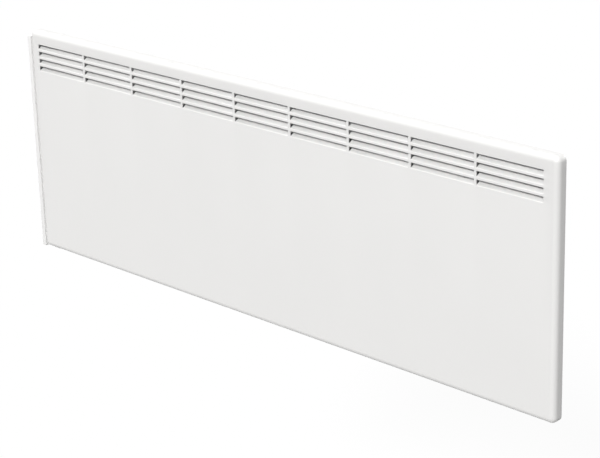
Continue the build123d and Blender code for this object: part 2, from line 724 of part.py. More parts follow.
with BuildPart() as element_pins:
    with BuildSketch(across(tube_end)):
        with Locations((element_y, leg_low), (element_y, leg_high)):
            Circle(PIN_RADIUS)
    extrude(amount=-PIN_LENGTH)
element_pins.part.label = "element_pins"
export_step(element_pins.part, "parts/element_pins.step")

# ---------------------------------------------------------------- overheat cut-out
flange_front = shield_front - SHIELD_SHEET
tab_root = flange_front - CUTOUT_DEPTH
tab_end = tab_root - TAB_LENGTH
tab_left, tab_right = [cutout_x + side * CUTOUT_RADIUS / 2 for side in (-1, 1)]

with BuildPart() as overheat_cutout:
    with BuildSketch(facing_room(shield_front)):
        with Locations((cutout_x, cutout_z)):
            Circle(CUTOUT_FLANGE_RADIUS)
    extrude(amount=SHIELD_SHEET)
    with BuildSketch(facing_room(flange_front)):
        with Locations((cutout_x, cutout_z)):
            Circle(CUTOUT_RADIUS)
    extrude(amount=CUTOUT_DEPTH)
    with BuildSketch(facing_room(tab_root)):
        with Locations((tab_left, cutout_z), (tab_right, cutout_z)):
            Rectangle(TAB_THICKNESS, TAB_WIDTH)
    extrude(amount=TAB_LENGTH)
overheat_cutout.part.label = "overheat_cutout"
export_step(overheat_cutout.part, "parts/overheat_cutout.step")

with BuildPart() as cutout_clamp:
    with BuildSketch(facing_room(shield_front)):
        with Locations((cutout_x, cutout_z)):
            Rectangle(CLAMP_WIDTH, 2 * (CUTOUT_FLANGE_RADIUS + CLAMP_EAR))
            Circle(CUTOUT_FLANGE_RADIUS + HOLE_PLAY, mode=Mode.SUBTRACT)
    extrude(amount=SHIELD_SHEET)
    with BuildSketch(facing_room(flange_front)):
        with Locations((cutout_x, cutout_z)):
            Rectangle(CLAMP_WIDTH, 2 * (CUTOUT_FLANGE_RADIUS + HOLE_PLAY + SHIELD_SHEET))
            Circle(CUTOUT_RADIUS + HOLE_PLAY, mode=Mode.SUBTRACT)
    extrude(amount=SHIELD_SHEET)
    with BuildSketch(facing_room(shield_front)):
        with Locations(*clamp_rivet_places):
            Circle(RIVET_RADIUS)
    extrude(amount=SHIELD_SHEET, mode=Mode.SUBTRACT)
cutout_clamp.part.label = "cutout_clamp"
export_step(cutout_clamp.part, "parts/cutout_clamp.step")

with BuildPart() as clamp_rivets:
    with BuildSketch(facing_room(shield_back)):
        with Locations(*clamp_rivet_places):
            Circle(RIVET_RADIUS)
    extrude(amount=2 * SHIELD_SHEET)
    with BuildSketch(facing_room(flange_front)):
        with Locations(*clamp_rivet_places):
            Circle(RIVET_HEAD_RADIUS)
    extrude(amount=RIVET_HEAD_HEIGHT, taper=RIVET_TAPER)
clamp_rivets.part.label = "clamp_rivets"
export_step(clamp_rivets.part, "parts/clamp_rivets.step")

# ---------------------------------------------------------------- control box
cap_screw_places = [
    (box_middle_y, box_bottom + CAP_SCREW_INSET),
    (box_middle_y, box_top - CAP_SCREW_INSET),
]
lip_width = box_thick - 2 * BOX_WALL - 2 * CAP_LIP_PLAY
lip_height = box_height - 2 * BOX_WALL - 2 * CAP_LIP_PLAY

with BuildPart() as control_base:
    with BuildSketch(across(cap_right)):
        with Locations((box_middle_y, box_middle_z)):
            Rectangle(box_thick, box_height)
    extrude(amount=casing_left - cap_right)
    with BuildSketch(across(cap_right)):
        with Locations((box_middle_y, box_middle_z)):
            Rectangle(box_thick - 2 * BOX_WALL, box_height - 2 * BOX_WALL)
    extrude(amount=base_wall - cap_right, mode=Mode.SUBTRACT)
    with BuildSketch(across(base_wall)):
        with Locations(*cap_screw_places):
            Circle(POST_RADIUS)
    extrude(amount=-(base_wall - cap_right))
    with BuildSketch(across(cap_right)):
        with Locations(*cap_screw_places):
            Circle(SCREW_RADIUS)
    extrude(amount=base_wall - cap_right, mode=Mode.SUBTRACT)
    with BuildSketch(across(base_wall)):
        with Locations(*base_screw_places):
            Circle(SCREW_RADIUS + HOLE_PLAY)
        with Locations((box_middle_y, grommet_z)):
            Circle(GROMMET_NECK_RADIUS)
        with Locations((box_middle_y, earth_z)):
            Circle(STUD_RADIUS + HOLE_PLAY)
    extrude(amount=BOX_WALL, mode=Mode.SUBTRACT)
    with BuildSketch(facing_room(box_back)):
        with Locations((gland_x, gland_z)):
            Circle(GLAND_RADIUS + HOLE_PLAY)
    extrude(amount=BOX_WALL, mode=Mode.SUBTRACT)
    with BuildSketch(Plane.XY.offset(box_bottom), Plane.XY.offset(box_top - BOX_WALL)):
        with Locations((gland_x, box_middle_y)):
            with GridLocations(VENT_LENGTH, VENT_PITCH, 1, VENT_COUNT):
                Rectangle(VENT_LENGTH, VENT_WIDTH)
    extrude(amount=BOX_WALL, mode=Mode.SUBTRACT)
control_base.part.label = "control_base"
export_step(control_base.part, "parts/control_base.step")

with BuildPart() as control_cap:
    with BuildSketch(across(box_left)):
        with Locations((box_middle_y, box_middle_z)):
            Rectangle(box_thick, box_height)
    extrude(amount=CAP_DEPTH)
    with BuildSketch(across(box_left)):
        with Locations((box_middle_y - RIDGE_HEIGHT / 2, box_middle_z)):
            Rectangle(box_thick + RIDGE_HEIGHT, box_height)
    extrude(amount=RIDGE_WIDTH)
    fillet(control_cap.edges().filter_by(Axis.X), BOX_EDGE_RADIUS / 2)
    fillet(control_cap.faces().sort_by(Axis.X)[0].edges(), BOX_EDGE_RADIUS)
    with BuildSketch(across(box_left + BOX_WALL)):
        with Locations((box_middle_y, box_middle_z)):
            Rectangle(box_thick - 2 * BOX_WALL, box_height - 2 * BOX_WALL)
    extrude(amount=CAP_DEPTH - BOX_WALL, mode=Mode.SUBTRACT)
    with BuildSketch(across(box_left + BOX_WALL)):
        with Locations((box_middle_y - RIDGE_HEIGHT / 2, box_middle_z)):
            Rectangle(box_thick + RIDGE_HEIGHT - 2 * BOX_WALL, box_height - 2 * BOX_WALL)
    extrude(amount=RIDGE_WIDTH - 2 * BOX_WALL, mode=Mode.SUBTRACT)
    with BuildSketch(across(cap_right - CAP_LIP)):
        with Locations((box_middle_y, box_middle_z)):
            Rectangle(box_thick - BOX_WALL, box_height - BOX_WALL)
            Rectangle(lip_width - BOX_WALL, lip_height - BOX_WALL, mode=Mode.SUBTRACT)
    extrude(amount=CAP_LIP)
    with BuildSketch(across(cap_right)):
        with Locations((box_middle_y, box_middle_z)):
            Rectangle(lip_width, lip_height)
            Rectangle(lip_width - BOX_WALL, lip_height - BOX_WALL, mode=Mode.SUBTRACT)
    extrude(amount=CAP_LIP)
    with BuildSketch(across(box_left + BOX_WALL)):
        with Locations((box_middle_y, thermostat_z)):
            Circle(DISH_RADIUS + BOX_WALL)
        with Locations(*cap_screw_places):
            Circle(POST_RADIUS)
    extrude(amount=DISH_DEPTH)
    with BuildSketch(across(box_left + BOX_WALL)):
        with Locations((box_middle_y, switch_z)):
            Rectangle(BEZEL_WIDTH + 2 * BOX_WALL, BEZEL_HEIGHT + 2 * BOX_WALL)
    extrude(amount=BEZEL_THICKNESS)
    with BuildSketch(across(box_left)):
        with Locations((box_middle_y, thermostat_z)):
            Circle(DISH_RADIUS)
    extrude(amount=DISH_DEPTH, mode=Mode.SUBTRACT)
    with BuildSketch(across(box_left)):
        with Locations((box_middle_y, switch_z)):
            Rectangle(BEZEL_WIDTH + 2 * HOLE_PLAY, BEZEL_HEIGHT + 2 * HOLE_PLAY)
        with Locations(*cap_screw_places):
            Circle(SCREW_HEAD_RADIUS + HOLE_PLAY)
    extrude(amount=BEZEL_THICKNESS, mode=Mode.SUBTRACT)
    with BuildSketch(across(bezel_seat)):
        with Locations((box_middle_y, switch_z)):
            Rectangle(SWITCH_BODY_WIDTH + 2 * HOLE_PLAY, SWITCH_BODY_HEIGHT + 2 * HOLE_PLAY)
        with Locations(*cap_screw_places):
            Circle(SCREW_RADIUS + HOLE_PLAY)
        with Locations((box_middle_y, thermostat_z)):
            Circle(BUSH_RADIUS + HOLE_PLAY)
    extrude(amount=DISH_DEPTH + BOX_WALL, mode=Mode.SUBTRACT)
control_cap.part.label = "control_cap"
export_step(control_cap.part, "parts/control_cap.step")

with BuildPart() as cap_screws:
    with BuildSketch(across(bezel_seat)):
        with Locations(*cap_screw_places):
            Circle(SCREW_HEAD_RADIUS)
    extrude(amount=-CAP_SCREW_HEAD, taper=SCREW_HEAD_TAPER)
    with BuildSketch(across(bezel_seat)):
        with Locations(*cap_screw_places):
            Circle(SCREW_RADIUS)
    extrude(amount=base_wall - bezel_seat - CAP_SCREW_INSET / 2)
cap_screws.part.label = "cap_screws"
export_step(cap_screws.part, "parts/cap_screws.step")

with BuildPart() as base_screws:
    with BuildSketch(across(base_wall)):
        with Locations(*base_screw_places):
            Circle(SCREW_HEAD_RADIUS)
    extrude(amount=-SCREW_HEAD_HEIGHT, taper=SCREW_HEAD_TAPER)
    with BuildSketch(across(base_wall)):
        with Locations(*base_screw_places):
            Circle(SCREW_RADIUS)
    extrude(amount=BOX_WALL + CASING_SHEET + 2 * SCREW_RADIUS)
base_screws.part.label = "base_screws"
export_step(base_screws.part, "parts/base_screws.step")

with BuildPart() as wire_grommet:
    with BuildSketch(across(base_wall - GROMMET_HEAD)):
        with Locations((box_middle_y, grommet_z)):
            Circle(GROMMET_HEAD_RADIUS)
    extrude(amount=GROMMET_HEAD)
    with BuildSketch(across(base_wall)):
        with Locations((box_middle_y, grommet_z)):
            Circle(GROMMET_NECK_RADIUS)
    extrude(amount=BOX_WALL + CASING_SHEET)
    with BuildSketch(across(casing_left + CASING_SHEET)):
        with Locations((box_middle_y, grommet_z)):
            Circle(GROMMET_HEAD_RADIUS)
    extrude(amount=GROMMET_HEAD)
    with BuildSketch(across(base_wall - GROMMET_HEAD)):
        with Locations((box_middle_y, grommet_z)):
            Circle(GROMMET_BORE_RADIUS)
    extrude(amount=2 * GROMMET_HEAD + BOX_WALL + CASING_SHEET, mode=Mode.SUBTRACT)
wire_grommet.part.label = "wire_grommet"
export_step(wire_grommet.part, "parts/wire_grommet.step")

# ---------------------------------------------------------------- thermostat
nut_face = dish_floor - BUSH_NUT_HEIGHT
knob_face = box_left + KNOB_GRIP_HEIGHT  # outer face of the knob's disc
shaft_inner = thermostat_face + THERMOSTAT_DEPTH / 2

with BuildPart() as thermostat_body:
    with BuildSketch(across(thermostat_face)):
        with Locations((box_middle_y, thermostat_z)):
            RectangleRounded(THERMOSTAT_WIDTH, THERMOSTAT_HEIGHT, THERMOSTAT_CORNER)
    extrude(amount=THERMOSTAT_DEPTH)
    with BuildSketch(across(thermostat_face)):
        with Locations((box_middle_y, thermostat_z)):
            Circle(BUSH_RADIUS)
    extrude(amount=-BUSH_LENGTH)
    with BuildSketch(across(thermostat_face - BUSH_LENGTH)):
        with Locations((box_middle_y, thermostat_z)):
            Circle(SHAFT_RADIUS + SHAFT_PLAY)
    extrude(amount=BUSH_LENGTH + THERMOSTAT_DEPTH / 2 + SHAFT_PLAY, mode=Mode.SUBTRACT)
thermostat_body.part.label = "thermostat_body"
export_step(thermostat_body.part, "parts/thermostat_body.step")

with BuildPart() as thermostat_nut:
    with BuildSketch(across(nut_face)):
        with Locations((box_middle_y, thermostat_z)):
            RegularPolygon(BUSH_NUT_ACROSS / 2, 6, major_radius=False)
            Circle(BUSH_RADIUS, mode=Mode.SUBTRACT)
    extrude(amount=BUSH_NUT_HEIGHT)
thermostat_nut.part.label = "thermostat_nut"
export_step(thermostat_nut.part, "parts/thermostat_nut.step")

with BuildPart() as thermostat_shaft:
    with BuildSketch(across(knob_face + KNOB_DISC)):
        with Locations((box_middle_y, thermostat_z)):
            Circle(SHAFT_RADIUS)
    extrude(amount=shaft_inner - knob_face - KNOB_DISC)
thermostat_shaft.part.label = "thermostat_shaft"
export_step(thermostat_shaft.part, "parts/thermostat_shaft.step")

with BuildPart() as thermostat_knob:
    with BuildSketch(across(knob_face)):
        with Locations((box_middle_y, thermostat_z)):
            Circle(KNOB_RADIUS)
    extrude(amount=KNOB_DISC)
    fillet(thermostat_knob.faces().sort_by(Axis.X)[0].edges(), KNOB_SKIRT / 2)
    with BuildSketch(across(knob_face + KNOB_DISC)):
        with Locations((box_middle_y, thermostat_z)):
            Circle(KNOB_RADIUS)
            Circle(KNOB_RADIUS - KNOB_SKIRT, mode=Mode.SUBTRACT)
    extrude(amount=dish_floor - KNOB_FLOOR_GAP - knob_face - KNOB_DISC)
    with BuildSketch(across(knob_face)):
        with Locations((box_middle_y, thermostat_z)):
            SlotOverall(2 * (KNOB_RADIUS - KNOB_SKIRT / 2), KNOB_GRIP_WIDTH, rotation=90)
    extrude(amount=-KNOB_GRIP_HEIGHT, taper=KNOB_DRAFT)
thermostat_knob.part.label = "thermostat_knob"
export_step(thermostat_knob.part, "parts/thermostat_knob.step")

# ---------------------------------------------------------------- rocker switch
well_width = ROCKER_WIDTH + 2 * ROCKER_SIDE_GAP
well_height = ROCKER_LENGTH + 4 * ROCKER_SIDE_GAP
pin_half = ROCKER_WIDTH / 2 + ROCKER_PIN_LENGTH

with BuildPart() as switch_housing:
    with BuildSketch(across(box_left)):
        with Locations((box_middle_y, switch_z)):
            RectangleRounded(BEZEL_WIDTH, BEZEL_HEIGHT, BEZEL_THICKNESS)
    extrude(amount=BEZEL_THICKNESS)
    with BuildSketch(across(bezel_seat)):
        with Locations((box_middle_y, switch_z)):
            Rectangle(SWITCH_BODY_WIDTH, SWITCH_BODY_HEIGHT)
    extrude(amount=SWITCH_BODY_DEPTH)
    with BuildSketch(across(box_left)):
        with Locations((box_middle_y, switch_z)):
            Rectangle(well_width, well_height)
    extrude(amount=SWITCH_WELL, mode=Mode.SUBTRACT)
    with BuildSketch(facing_room(box_middle_y)):
        with Locations((rocker_x, switch_z)):
            Circle(ROCKER_PIN_RADIUS + ROCKER_PIN_PLAY)
    extrude(amount=pin_half + ROCKER_PIN_PLAY, both=True, mode=Mode.SUBTRACT)
switch_housing.part.label = "switch_housing"
export_step(switch_housing.part, "parts/switch_housing.step")

with BuildPart() as switch_rocker:
    with BuildSketch(Plane(origin=(rocker_x, box_middle_y, switch_z), x_dir=(1, 0, 0), z_dir=(0, -1, 0))
                     .rotated((0, 0, ROCKER_SWING))):
        with BuildLine():
            Polyline(
                (ROCKER_KEEL, -ROCKER_KEEL_LENGTH / 2),
                (ROCKER_END - ROCKER_RISE, -ROCKER_LENGTH / 2),
                (-ROCKER_RISE, -ROCKER_LENGTH / 2),
            )
            ThreePointArc(
                (-ROCKER_RISE, -ROCKER_LENGTH / 2),
                (ROCKER_HOLLOW - ROCKER_RISE, 0),
                (-ROCKER_RISE, ROCKER_LENGTH / 2),
            )
            Polyline(
                (-ROCKER_RISE, ROCKER_LENGTH / 2),
                (ROCKER_END - ROCKER_RISE, ROCKER_LENGTH / 2),
                (ROCKER_KEEL, ROCKER_KEEL_LENGTH / 2),
                (ROCKER_KEEL, -ROCKER_KEEL_LENGTH / 2),
            )
        make_face()
    extrude(amount=ROCKER_WIDTH / 2, both=True)
    with BuildSketch(facing_room(box_middle_y)):
        with Locations((rocker_x, switch_z)):
            Circle(ROCKER_PIN_RADIUS)
    extrude(amount=pin_half, both=True)
switch_rocker.part.label = "switch_rocker"
export_step(switch_rocker.part, "parts/switch_rocker.step")

# ---------------------------------------------------------------- mains connection
terminal_left = base_wall - TERMINAL_WIDTH
terminal_ways = [
    (box_middle_y + way * TERMINAL_DEPTH / 3, terminal_z) for way in (-1, 0, 1)
]

with BuildPart() as terminal_block:
    with BuildSketch(across(terminal_left)):
        with Locations((box_middle_y, terminal_z)):
            RectangleRounded(TERMINAL_DEPTH, TERMINAL_HEIGHT, BOX_WALL)
        with Locations(*terminal_ways):
            Circle(SCREW_HEAD_RADIUS, mode=Mode.SUBTRACT)
    extrude(amount=TERMINAL_WIDTH / 2)
    with BuildSketch(across(terminal_left + TERMINAL_WIDTH / 2)):
        with Locations((box_middle_y, terminal_z)):
            RectangleRounded(TERMINAL_DEPTH, TERMINAL_HEIGHT, BOX_WALL)
    extrude(amount=TERMINAL_WIDTH / 2)
terminal_block.part.label = "terminal_block"
export_step(terminal_block.part, "parts/terminal_block.step")

with BuildPart() as terminal_screws:
    with BuildSketch(across(terminal_left + TERMINAL_WIDTH / 2)):
        with Locations(*terminal_ways):
            Circle(SCREW_HEAD_RADIUS - HOLE_PLAY)
    extrude(amount=-SCREW_HEAD_HEIGHT)
    with BuildSketch(across(terminal_left + TERMINAL_WIDTH / 2 - SCREW_HEAD_HEIGHT)):
        with Locations(*terminal_ways):
            Rectangle(2 * SCREW_HEAD_RADIUS, SCREW_RADIUS / 2)
    extrude(amount=SCREW_HEAD_HEIGHT / 2, mode=Mode.SUBTRACT)
terminal_screws.part.label = "terminal_screws"
export_step(terminal_screws.part, "parts/terminal_screws.step")

with BuildPart() as cable_gland:
    with BuildSketch(facing_room(box_back)):
        with Locations((gland_x, gland_z)):
            Circle(GLAND_HEAD_RADIUS)
    extrude(amount=-GLAND_HEAD)
    fillet(cable_gland.faces().sort_by(Axis.Y)[-1].edges(), GLAND_HEAD_RADIUS / 4)
    with BuildSketch(facing_room(box_back)):
        with Locations((gland_x, gland_z)):
            Circle(GLAND_RADIUS)
    extrude(amount=GLAND_TAIL)
    with BuildSketch(facing_room(box_back + GLAND_HEAD)):
        with Locations((gland_x, gland_z)):
            Circle(GLAND_BORE_RADIUS)
    extrude(amount=GLAND_HEAD + GLAND_TAIL, mode=Mode.SUBTRACT)
cable_gland.part.label = "cable_gland"
export_step(cable_gland.part, "parts/cable_gland.step")

with BuildPart() as gland_nut:
    with BuildSketch(facing_room(box_back - BOX_WALL)):
        with Locations((gland_x, gland_z)):
            RegularPolygon(GLAND_NUT_ACROSS / 2, 6, major_radius=False, rotation=30)
            Circle(GLAND_RADIUS, mode=Mode.SUBTRACT)
    extrude(amount=GLAND_NUT_HEIGHT)
gland_nut.part.label = "gland_nut"
export_step(gland_nut.part, "parts/gland_nut.step")

with BuildPart() as earth_stud:
    with BuildSketch(across(casing_left + CASING_SHEET)):
        with Locations((box_middle_y, earth_z)):
            Circle(STUD_RADIUS)
    extrude(amount=-EARTH_STUD_LENGTH)
    with BuildSketch(across(casing_left + CASING_SHEET)):
        with Locations((box_middle_y, earth_z)):
            Circle(SCREW_HEAD_RADIUS)
    extrude(amount=SCREW_HEAD_HEIGHT)
earth_stud.part.label = "earth_stud"
export_step(earth_stud.part, "parts/earth_stud.step")

with BuildPart() as earth_nut:
    with BuildSketch(across(base_wall), across(base_wall - NUT_HEIGHT - LUG_THICKNESS)):
        with Locations((box_middle_y, earth_z)):
            RegularPolygon(NUT_ACROSS / 2, 6, major_radius=False)
            Circle(STUD_RADIUS, mode=Mode.SUBTRACT)
    extrude(amount=-NUT_HEIGHT)
earth_nut.part.label = "earth_nut"
export_step(earth_nut.part, "parts/earth_nut.step")

# ---------------------------------------------------------------- wiring
lane_y = box_front + BOX_WALL + WIRE_PLAY + WIRE_RADIUS
first_lane = base_wall - WIRE_INSET
second_lane = first_lane - WIRE_LANE
third_lane = second_lane - 2 * WIRE_LANE
tap_y = box_middle_y - SWITCH_BODY_WIDTH / 4  # wires into the switch and the thermostat
switch_back = bezel_seat + SWITCH_BODY_DEPTH
switch_low, switch_high = [switch_z + side * SWITCH_BODY_HEIGHT / 4 for side in (-1, 1)]
thermostat_back = thermostat_face + THERMOSTAT_DEPTH
thermostat_low, thermostat_high = [thermostat_z + side * THERMOSTAT_HEIGHT / 4 for side in (-1, 1)]
block_top = terminal_z + TERMINAL_HEIGHT / 2
passage_y = box_middle_y - 3 * WIRE_PLAY  # both wires through the grommet
passage_high, passage_low = [grommet_z + side * (WIRE_RADIUS + 2 * WIRE_PLAY) for side in (1, -1)]
sleeve_start = tab_root - SLEEVE_LENGTH + TAB_LENGTH
sleeve_end = tab_end - SLEEVE_END
sleeve_front = sleeve_end - WIRE_FORWARD
pin_end = tube_end - PIN_LENGTH
crimp_end = pin_end - CRIMP_END
pin_turn = (casing_left + CASING_SHEET + crimp_end) / 2 - WIRE_PLAY
lug_x = base_wall - NUT_HEIGHT - LUG_THICKNESS
front_way, _, rear_way = [way[0] for way in terminal_ways]

wire_routes = {
    "wire_live": [
        (switch_back, tap_y, switch_low),
        (second_lane, tap_y, switch_low),
        (second_lane, lane_y, switch_low),
        (second_lane, lane_y, block_top + 2 * WIRE_RISE),
        (second_lane, front_way, block_top + WIRE_RISE),
        (second_lane, front_way, block_top),
    ],
    "wire_switched": [
        (switch_back, tap_y, switch_high),
        (first_lane, tap_y, switch_high),
        (first_lane, tap_y, thermostat_low),
        (thermostat_back, tap_y, thermostat_low),
    ],
    "wire_load": [
        (thermostat_back, tap_y, thermostat_high),
        (first_lane, tap_y, thermostat_high),
        (first_lane, lane_y, thermostat_high),
        (first_lane, lane_y, passage_high),
        (first_lane, passage_y, passage_high),
        (casing_left + LOAD_RUN, passage_y, passage_high),
        (tab_left - WIRE_SLACK, sleeve_front, cutout_z - WIRE_SLACK),
        (tab_left, sleeve_front, cutout_z),
        (tab_left, sleeve_end, cutout_z),
    ],
    "wire_link": [
        (tab_right, sleeve_end, cutout_z),
        (tab_right, sleeve_front, cutout_z),
        (tab_right - WIRE_SLACK, sleeve_front, cutout_z - 2 * WIRE_SLACK),
        (pin_turn, element_y, leg_high + LINK_RUN),
        (pin_turn, element_y, leg_high),
        (crimp_end, element_y, leg_high),
    ],
    "wire_neutral": [
        (third_lane, passage_y, block_top),
        (third_lane, passage_y, passage_low),
        (casing_left + NEUTRAL_RUN, passage_y, passage_low),
        (pin_turn, passage_y, leg_low),
        (pin_turn, element_y, leg_low),
        (crimp_end, element_y, leg_low),
    ],
    "wire_earth": [
        (lug_x, rear_way, block_top),
        (lug_x, rear_way, block_top + WIRE_RISE),
        (lug_x, box_middle_y, block_top + 2 * WIRE_RISE),
        (lug_x, box_middle_y, earth_z - LUG_RADIUS + WIRE_PLAY),
    ],
}
sleeves = {"wire_load": tab_left, "wire_link": tab_right}
crimps = {"wire_link": leg_high, "wire_neutral": leg_low}

for name, route in wire_routes.items():
    with BuildPart() as wire:
        with BuildLine():
            FilletPolyline(*route, radius=WIRE_BEND)
        with BuildSketch(Plane(origin=route[0], z_dir=Vector(*route[1]) - Vector(*route[0]))):
            Circle(WIRE_RADIUS)
        sweep()
        if name in sleeves:
            with BuildSketch(facing_room(sleeve_start)):
                with Locations((sleeves[name], cutout_z)):
                    Rectangle(SLEEVE_THICKNESS, SLEEVE_HEIGHT)
            extrude(amount=sleeve_start - sleeve_end)
            with BuildSketch(facing_room(sleeve_start)):
                with Locations((sleeves[name], cutout_z)):
                    Rectangle(TAB_THICKNESS, TAB_WIDTH)
            extrude(amount=sleeve_start - tab_end, mode=Mode.SUBTRACT)
        if name in crimps:
            with BuildSketch(across(crimp_end)):
                with Locations((element_y, crimps[name])):
                    Circle(CRIMP_RADIUS)
            extrude(amount=CRIMP_LENGTH)
            with BuildSketch(across(pin_end)):
                with Locations((element_y, crimps[name])):
                    Circle(PIN_RADIUS)
            extrude(amount=CRIMP_LENGTH, mode=Mode.SUBTRACT)
        if name == "wire_earth":
            with BuildSketch(across(lug_x)):
                with Locations((box_middle_y, earth_z)):
                    Circle(LUG_RADIUS)
                    Circle(STUD_RADIUS, mode=Mode.SUBTRACT)
            extrude(amount=LUG_THICKNESS)
    wire.part.label = name
    export_step(wire.part, f"parts/{name}.step")

# ---------------------------------------------------------------- wall bracket
web_back = -BRACKET_SHEET
web_front = -2 * BRACKET_SHEET
pad_front = casing_back + REST_GAP
hook_radius = ROD_RADIUS + ROD_PLAY + HOOK_WALL
flange_offsets = (-UPRIGHT_WIDTH / 2, UPRIGHT_WIDTH / 2 - BRACKET_SHEET)
rivet_rows = [
    (side, end * (fixing_z + turn * RIVET_OFFSET))
    for side in upright_places
    for end in (-1, 1)
    for turn in (-1, 1)
]
catch_rivet_z = upright_top - CATCH_LEG / 2
catch_rivet_places = [
    (x + side, catch_rivet_z) for x in upright_places for side in (-CATCH_WIDTH / 4, CATCH_WIDTH / 4)
]

for name, upright_x in zip(("left", "right"), upright_places):
    with BuildPart() as bracket_upright:
        with BuildSketch(facing_room(web_back)):
            with Locations((upright_x, 0)):
                Rectangle(UPRIGHT_WIDTH, upright_length)
            with Locations((upright_x, -fixing_z), (upright_x, fixing_z)):
                Circle(FIXING_HOLE_RADIUS, mode=Mode.SUBTRACT)
            with Locations(*[spot for spot in rivet_rows + catch_rivet_places
                             if abs(spot[0] - upright_x) < UPRIGHT_WIDTH]):
                Circle(RIVET_RADIUS, mode=Mode.SUBTRACT)
        extrude(amount=BRACKET_SHEET)
        with BuildSketch(*[across(upright_x + side) for side in flange_offsets]):
            Polygon(
                (web_back, upright_bottom),
                (pad_front + HOOK_WALL, upright_bottom),
                (hinge_y, hinge_z - hook_radius),
                (hinge_y, hinge_z + HOOK_LIP),
                (pad_front, hinge_z + HOOK_LIP),
                (pad_front, hinge_z + 2 * HOOK_LIP),
                (-UPRIGHT_SPINE, hinge_z + 2 * HOOK_LIP + UPRIGHT_SPINE),
                (-UPRIGHT_SPINE, upright_top - UPRIGHT_PAD - UPRIGHT_SPINE),
                (pad_front, upright_top - UPRIGHT_PAD),
                (pad_front, upright_top - HOOK_WALL),
                (pad_front + HOOK_WALL, upright_top),
                (web_back, upright_top),
                align=None,
            )
            with Locations((hinge_y, hinge_z)):
                Circle(hook_radius)
                Circle(ROD_RADIUS + ROD_PLAY, mode=Mode.SUBTRACT)
            with Locations((hinge_y, hinge_z + hook_radius)):
                Rectangle(2 * (ROD_RADIUS + ROD_PLAY), 2 * hook_radius, mode=Mode.SUBTRACT)
            with Locations((hinge_y, hinge_z + HOOK_LIP + hook_radius)):
                Rectangle(2 * hook_radius, 2 * hook_radius, mode=Mode.SUBTRACT)
        extrude(amount=BRACKET_SHEET)
    bracket_upright.part.label = f"bracket_upright_{name}"
    export_step(bracket_upright.part, f"parts/bracket_upright_{name}.step")

rail_length = UPRIGHT_SPACING + 2 * RAIL_END
lip_length = UPRIGHT_SPACING - UPRIGHT_WIDTH - 2 * RIVET_OFFSET
for name, rail_z in (("lower", -fixing_z), ("upper", fixing_z)):
    with BuildPart() as bracket_rail:
        with BuildSketch(facing_room(0)):
            with Locations((0, rail_z)):
                Rectangle(rail_length, RAIL_HEIGHT)
            with Locations(*[(x, rail_z) for x in upright_places]):
                Circle(FIXING_HOLE_RADIUS, mode=Mode.SUBTRACT)
            with Locations(*[spot for spot in rivet_rows if abs(spot[1] - rail_z) < RAIL_HEIGHT]):
                Circle(RIVET_RADIUS, mode=Mode.SUBTRACT)
        extrude(amount=BRACKET_SHEET)
        with BuildSketch(facing_room(0)):
            with Locations(
                (0, rail_z - RAIL_HEIGHT / 2 + BRACKET_SHEET / 2),
                (0, rail_z + RAIL_HEIGHT / 2 - BRACKET_SHEET / 2),
            ):
                Rectangle(lip_length, BRACKET_SHEET)
        extrude(amount=RAIL_LIP)
    bracket_rail.part.label = f"bracket_rail_{name}"
    export_step(bracket_rail.part, f"parts/bracket_rail_{name}.step")

with BuildPart() as bracket_rivets:
    with BuildSketch(facing_room(0)):
        with Locations(*rivet_rows):
            Circle(RIVET_RADIUS)
    extrude(amount=2 * BRACKET_SHEET)
    with BuildSketch(facing_room(web_front)):
        with Locations(*rivet_rows):
            Circle(RIVET_HEAD_RADIUS)
    extrude(amount=RIVET_HEAD_HEIGHT, taper=RIVET_TAPER)
bracket_rivets.part.label = "bracket_rivets"
export_step(bracket_rivets.part, "parts/bracket_rivets.step")

# ---------------------------------------------------------------- sprung catches
tongue_z = ledge_top + CATCH_RISE
nose_y = casing_back - CATCH_REACH
with BuildPart() as catch_springs:
    with BuildSketch(*[across(x - CATCH_WIDTH / 2) for x in upright_places]):
        with BuildLine():
            FilletPolyline(
                (web_front, upright_top - CATCH_LEG),
                (web_front, tongue_z),
                (nose_y, tongue_z),
                (nose_y, ledge_top - CATCH_NOSE),
                (nose_y - CATCH_NOSE / 2, ledge_top - CATCH_NOSE),
                (nose_y - CATCH_NOSE / 2 - CATCH_LEAD, tongue_z + CATCH_NOSE),
                radius=CATCH_SHEET,
            )
            offset(amount=CATCH_SHEET, side=Side.LEFT)
        make_face()
    extrude(amount=CATCH_WIDTH)
    with BuildSketch(facing_room(web_front)):
        with Locations(*catch_rivet_places):
            Circle(RIVET_RADIUS)
    extrude(amount=CATCH_SHEET, mode=Mode.SUBTRACT)
catch_springs.part.label = "catch_springs"
export_step(catch_springs.part, "parts/catch_springs.step")

with BuildPart() as catch_rivets:
    with BuildSketch(facing_room(web_back)):
        with Locations(*catch_rivet_places):
            Circle(RIVET_RADIUS)
    extrude(amount=BRACKET_SHEET + CATCH_SHEET)
    with BuildSketch(facing_room(web_front - CATCH_SHEET)):
        with Locations(*catch_rivet_places):
            Circle(RIVET_HEAD_RADIUS)
    extrude(amount=RIVET_HEAD_HEIGHT, taper=RIVET_TAPER)
catch_rivets.part.label = "catch_rivets"
export_step(catch_rivets.part, "parts/catch_rivets.step")
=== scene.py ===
import json
from math import cos, pi, radians, sin, tan

import bmesh
import bpy
import numpy as np
from mathutils import Matrix, Vector


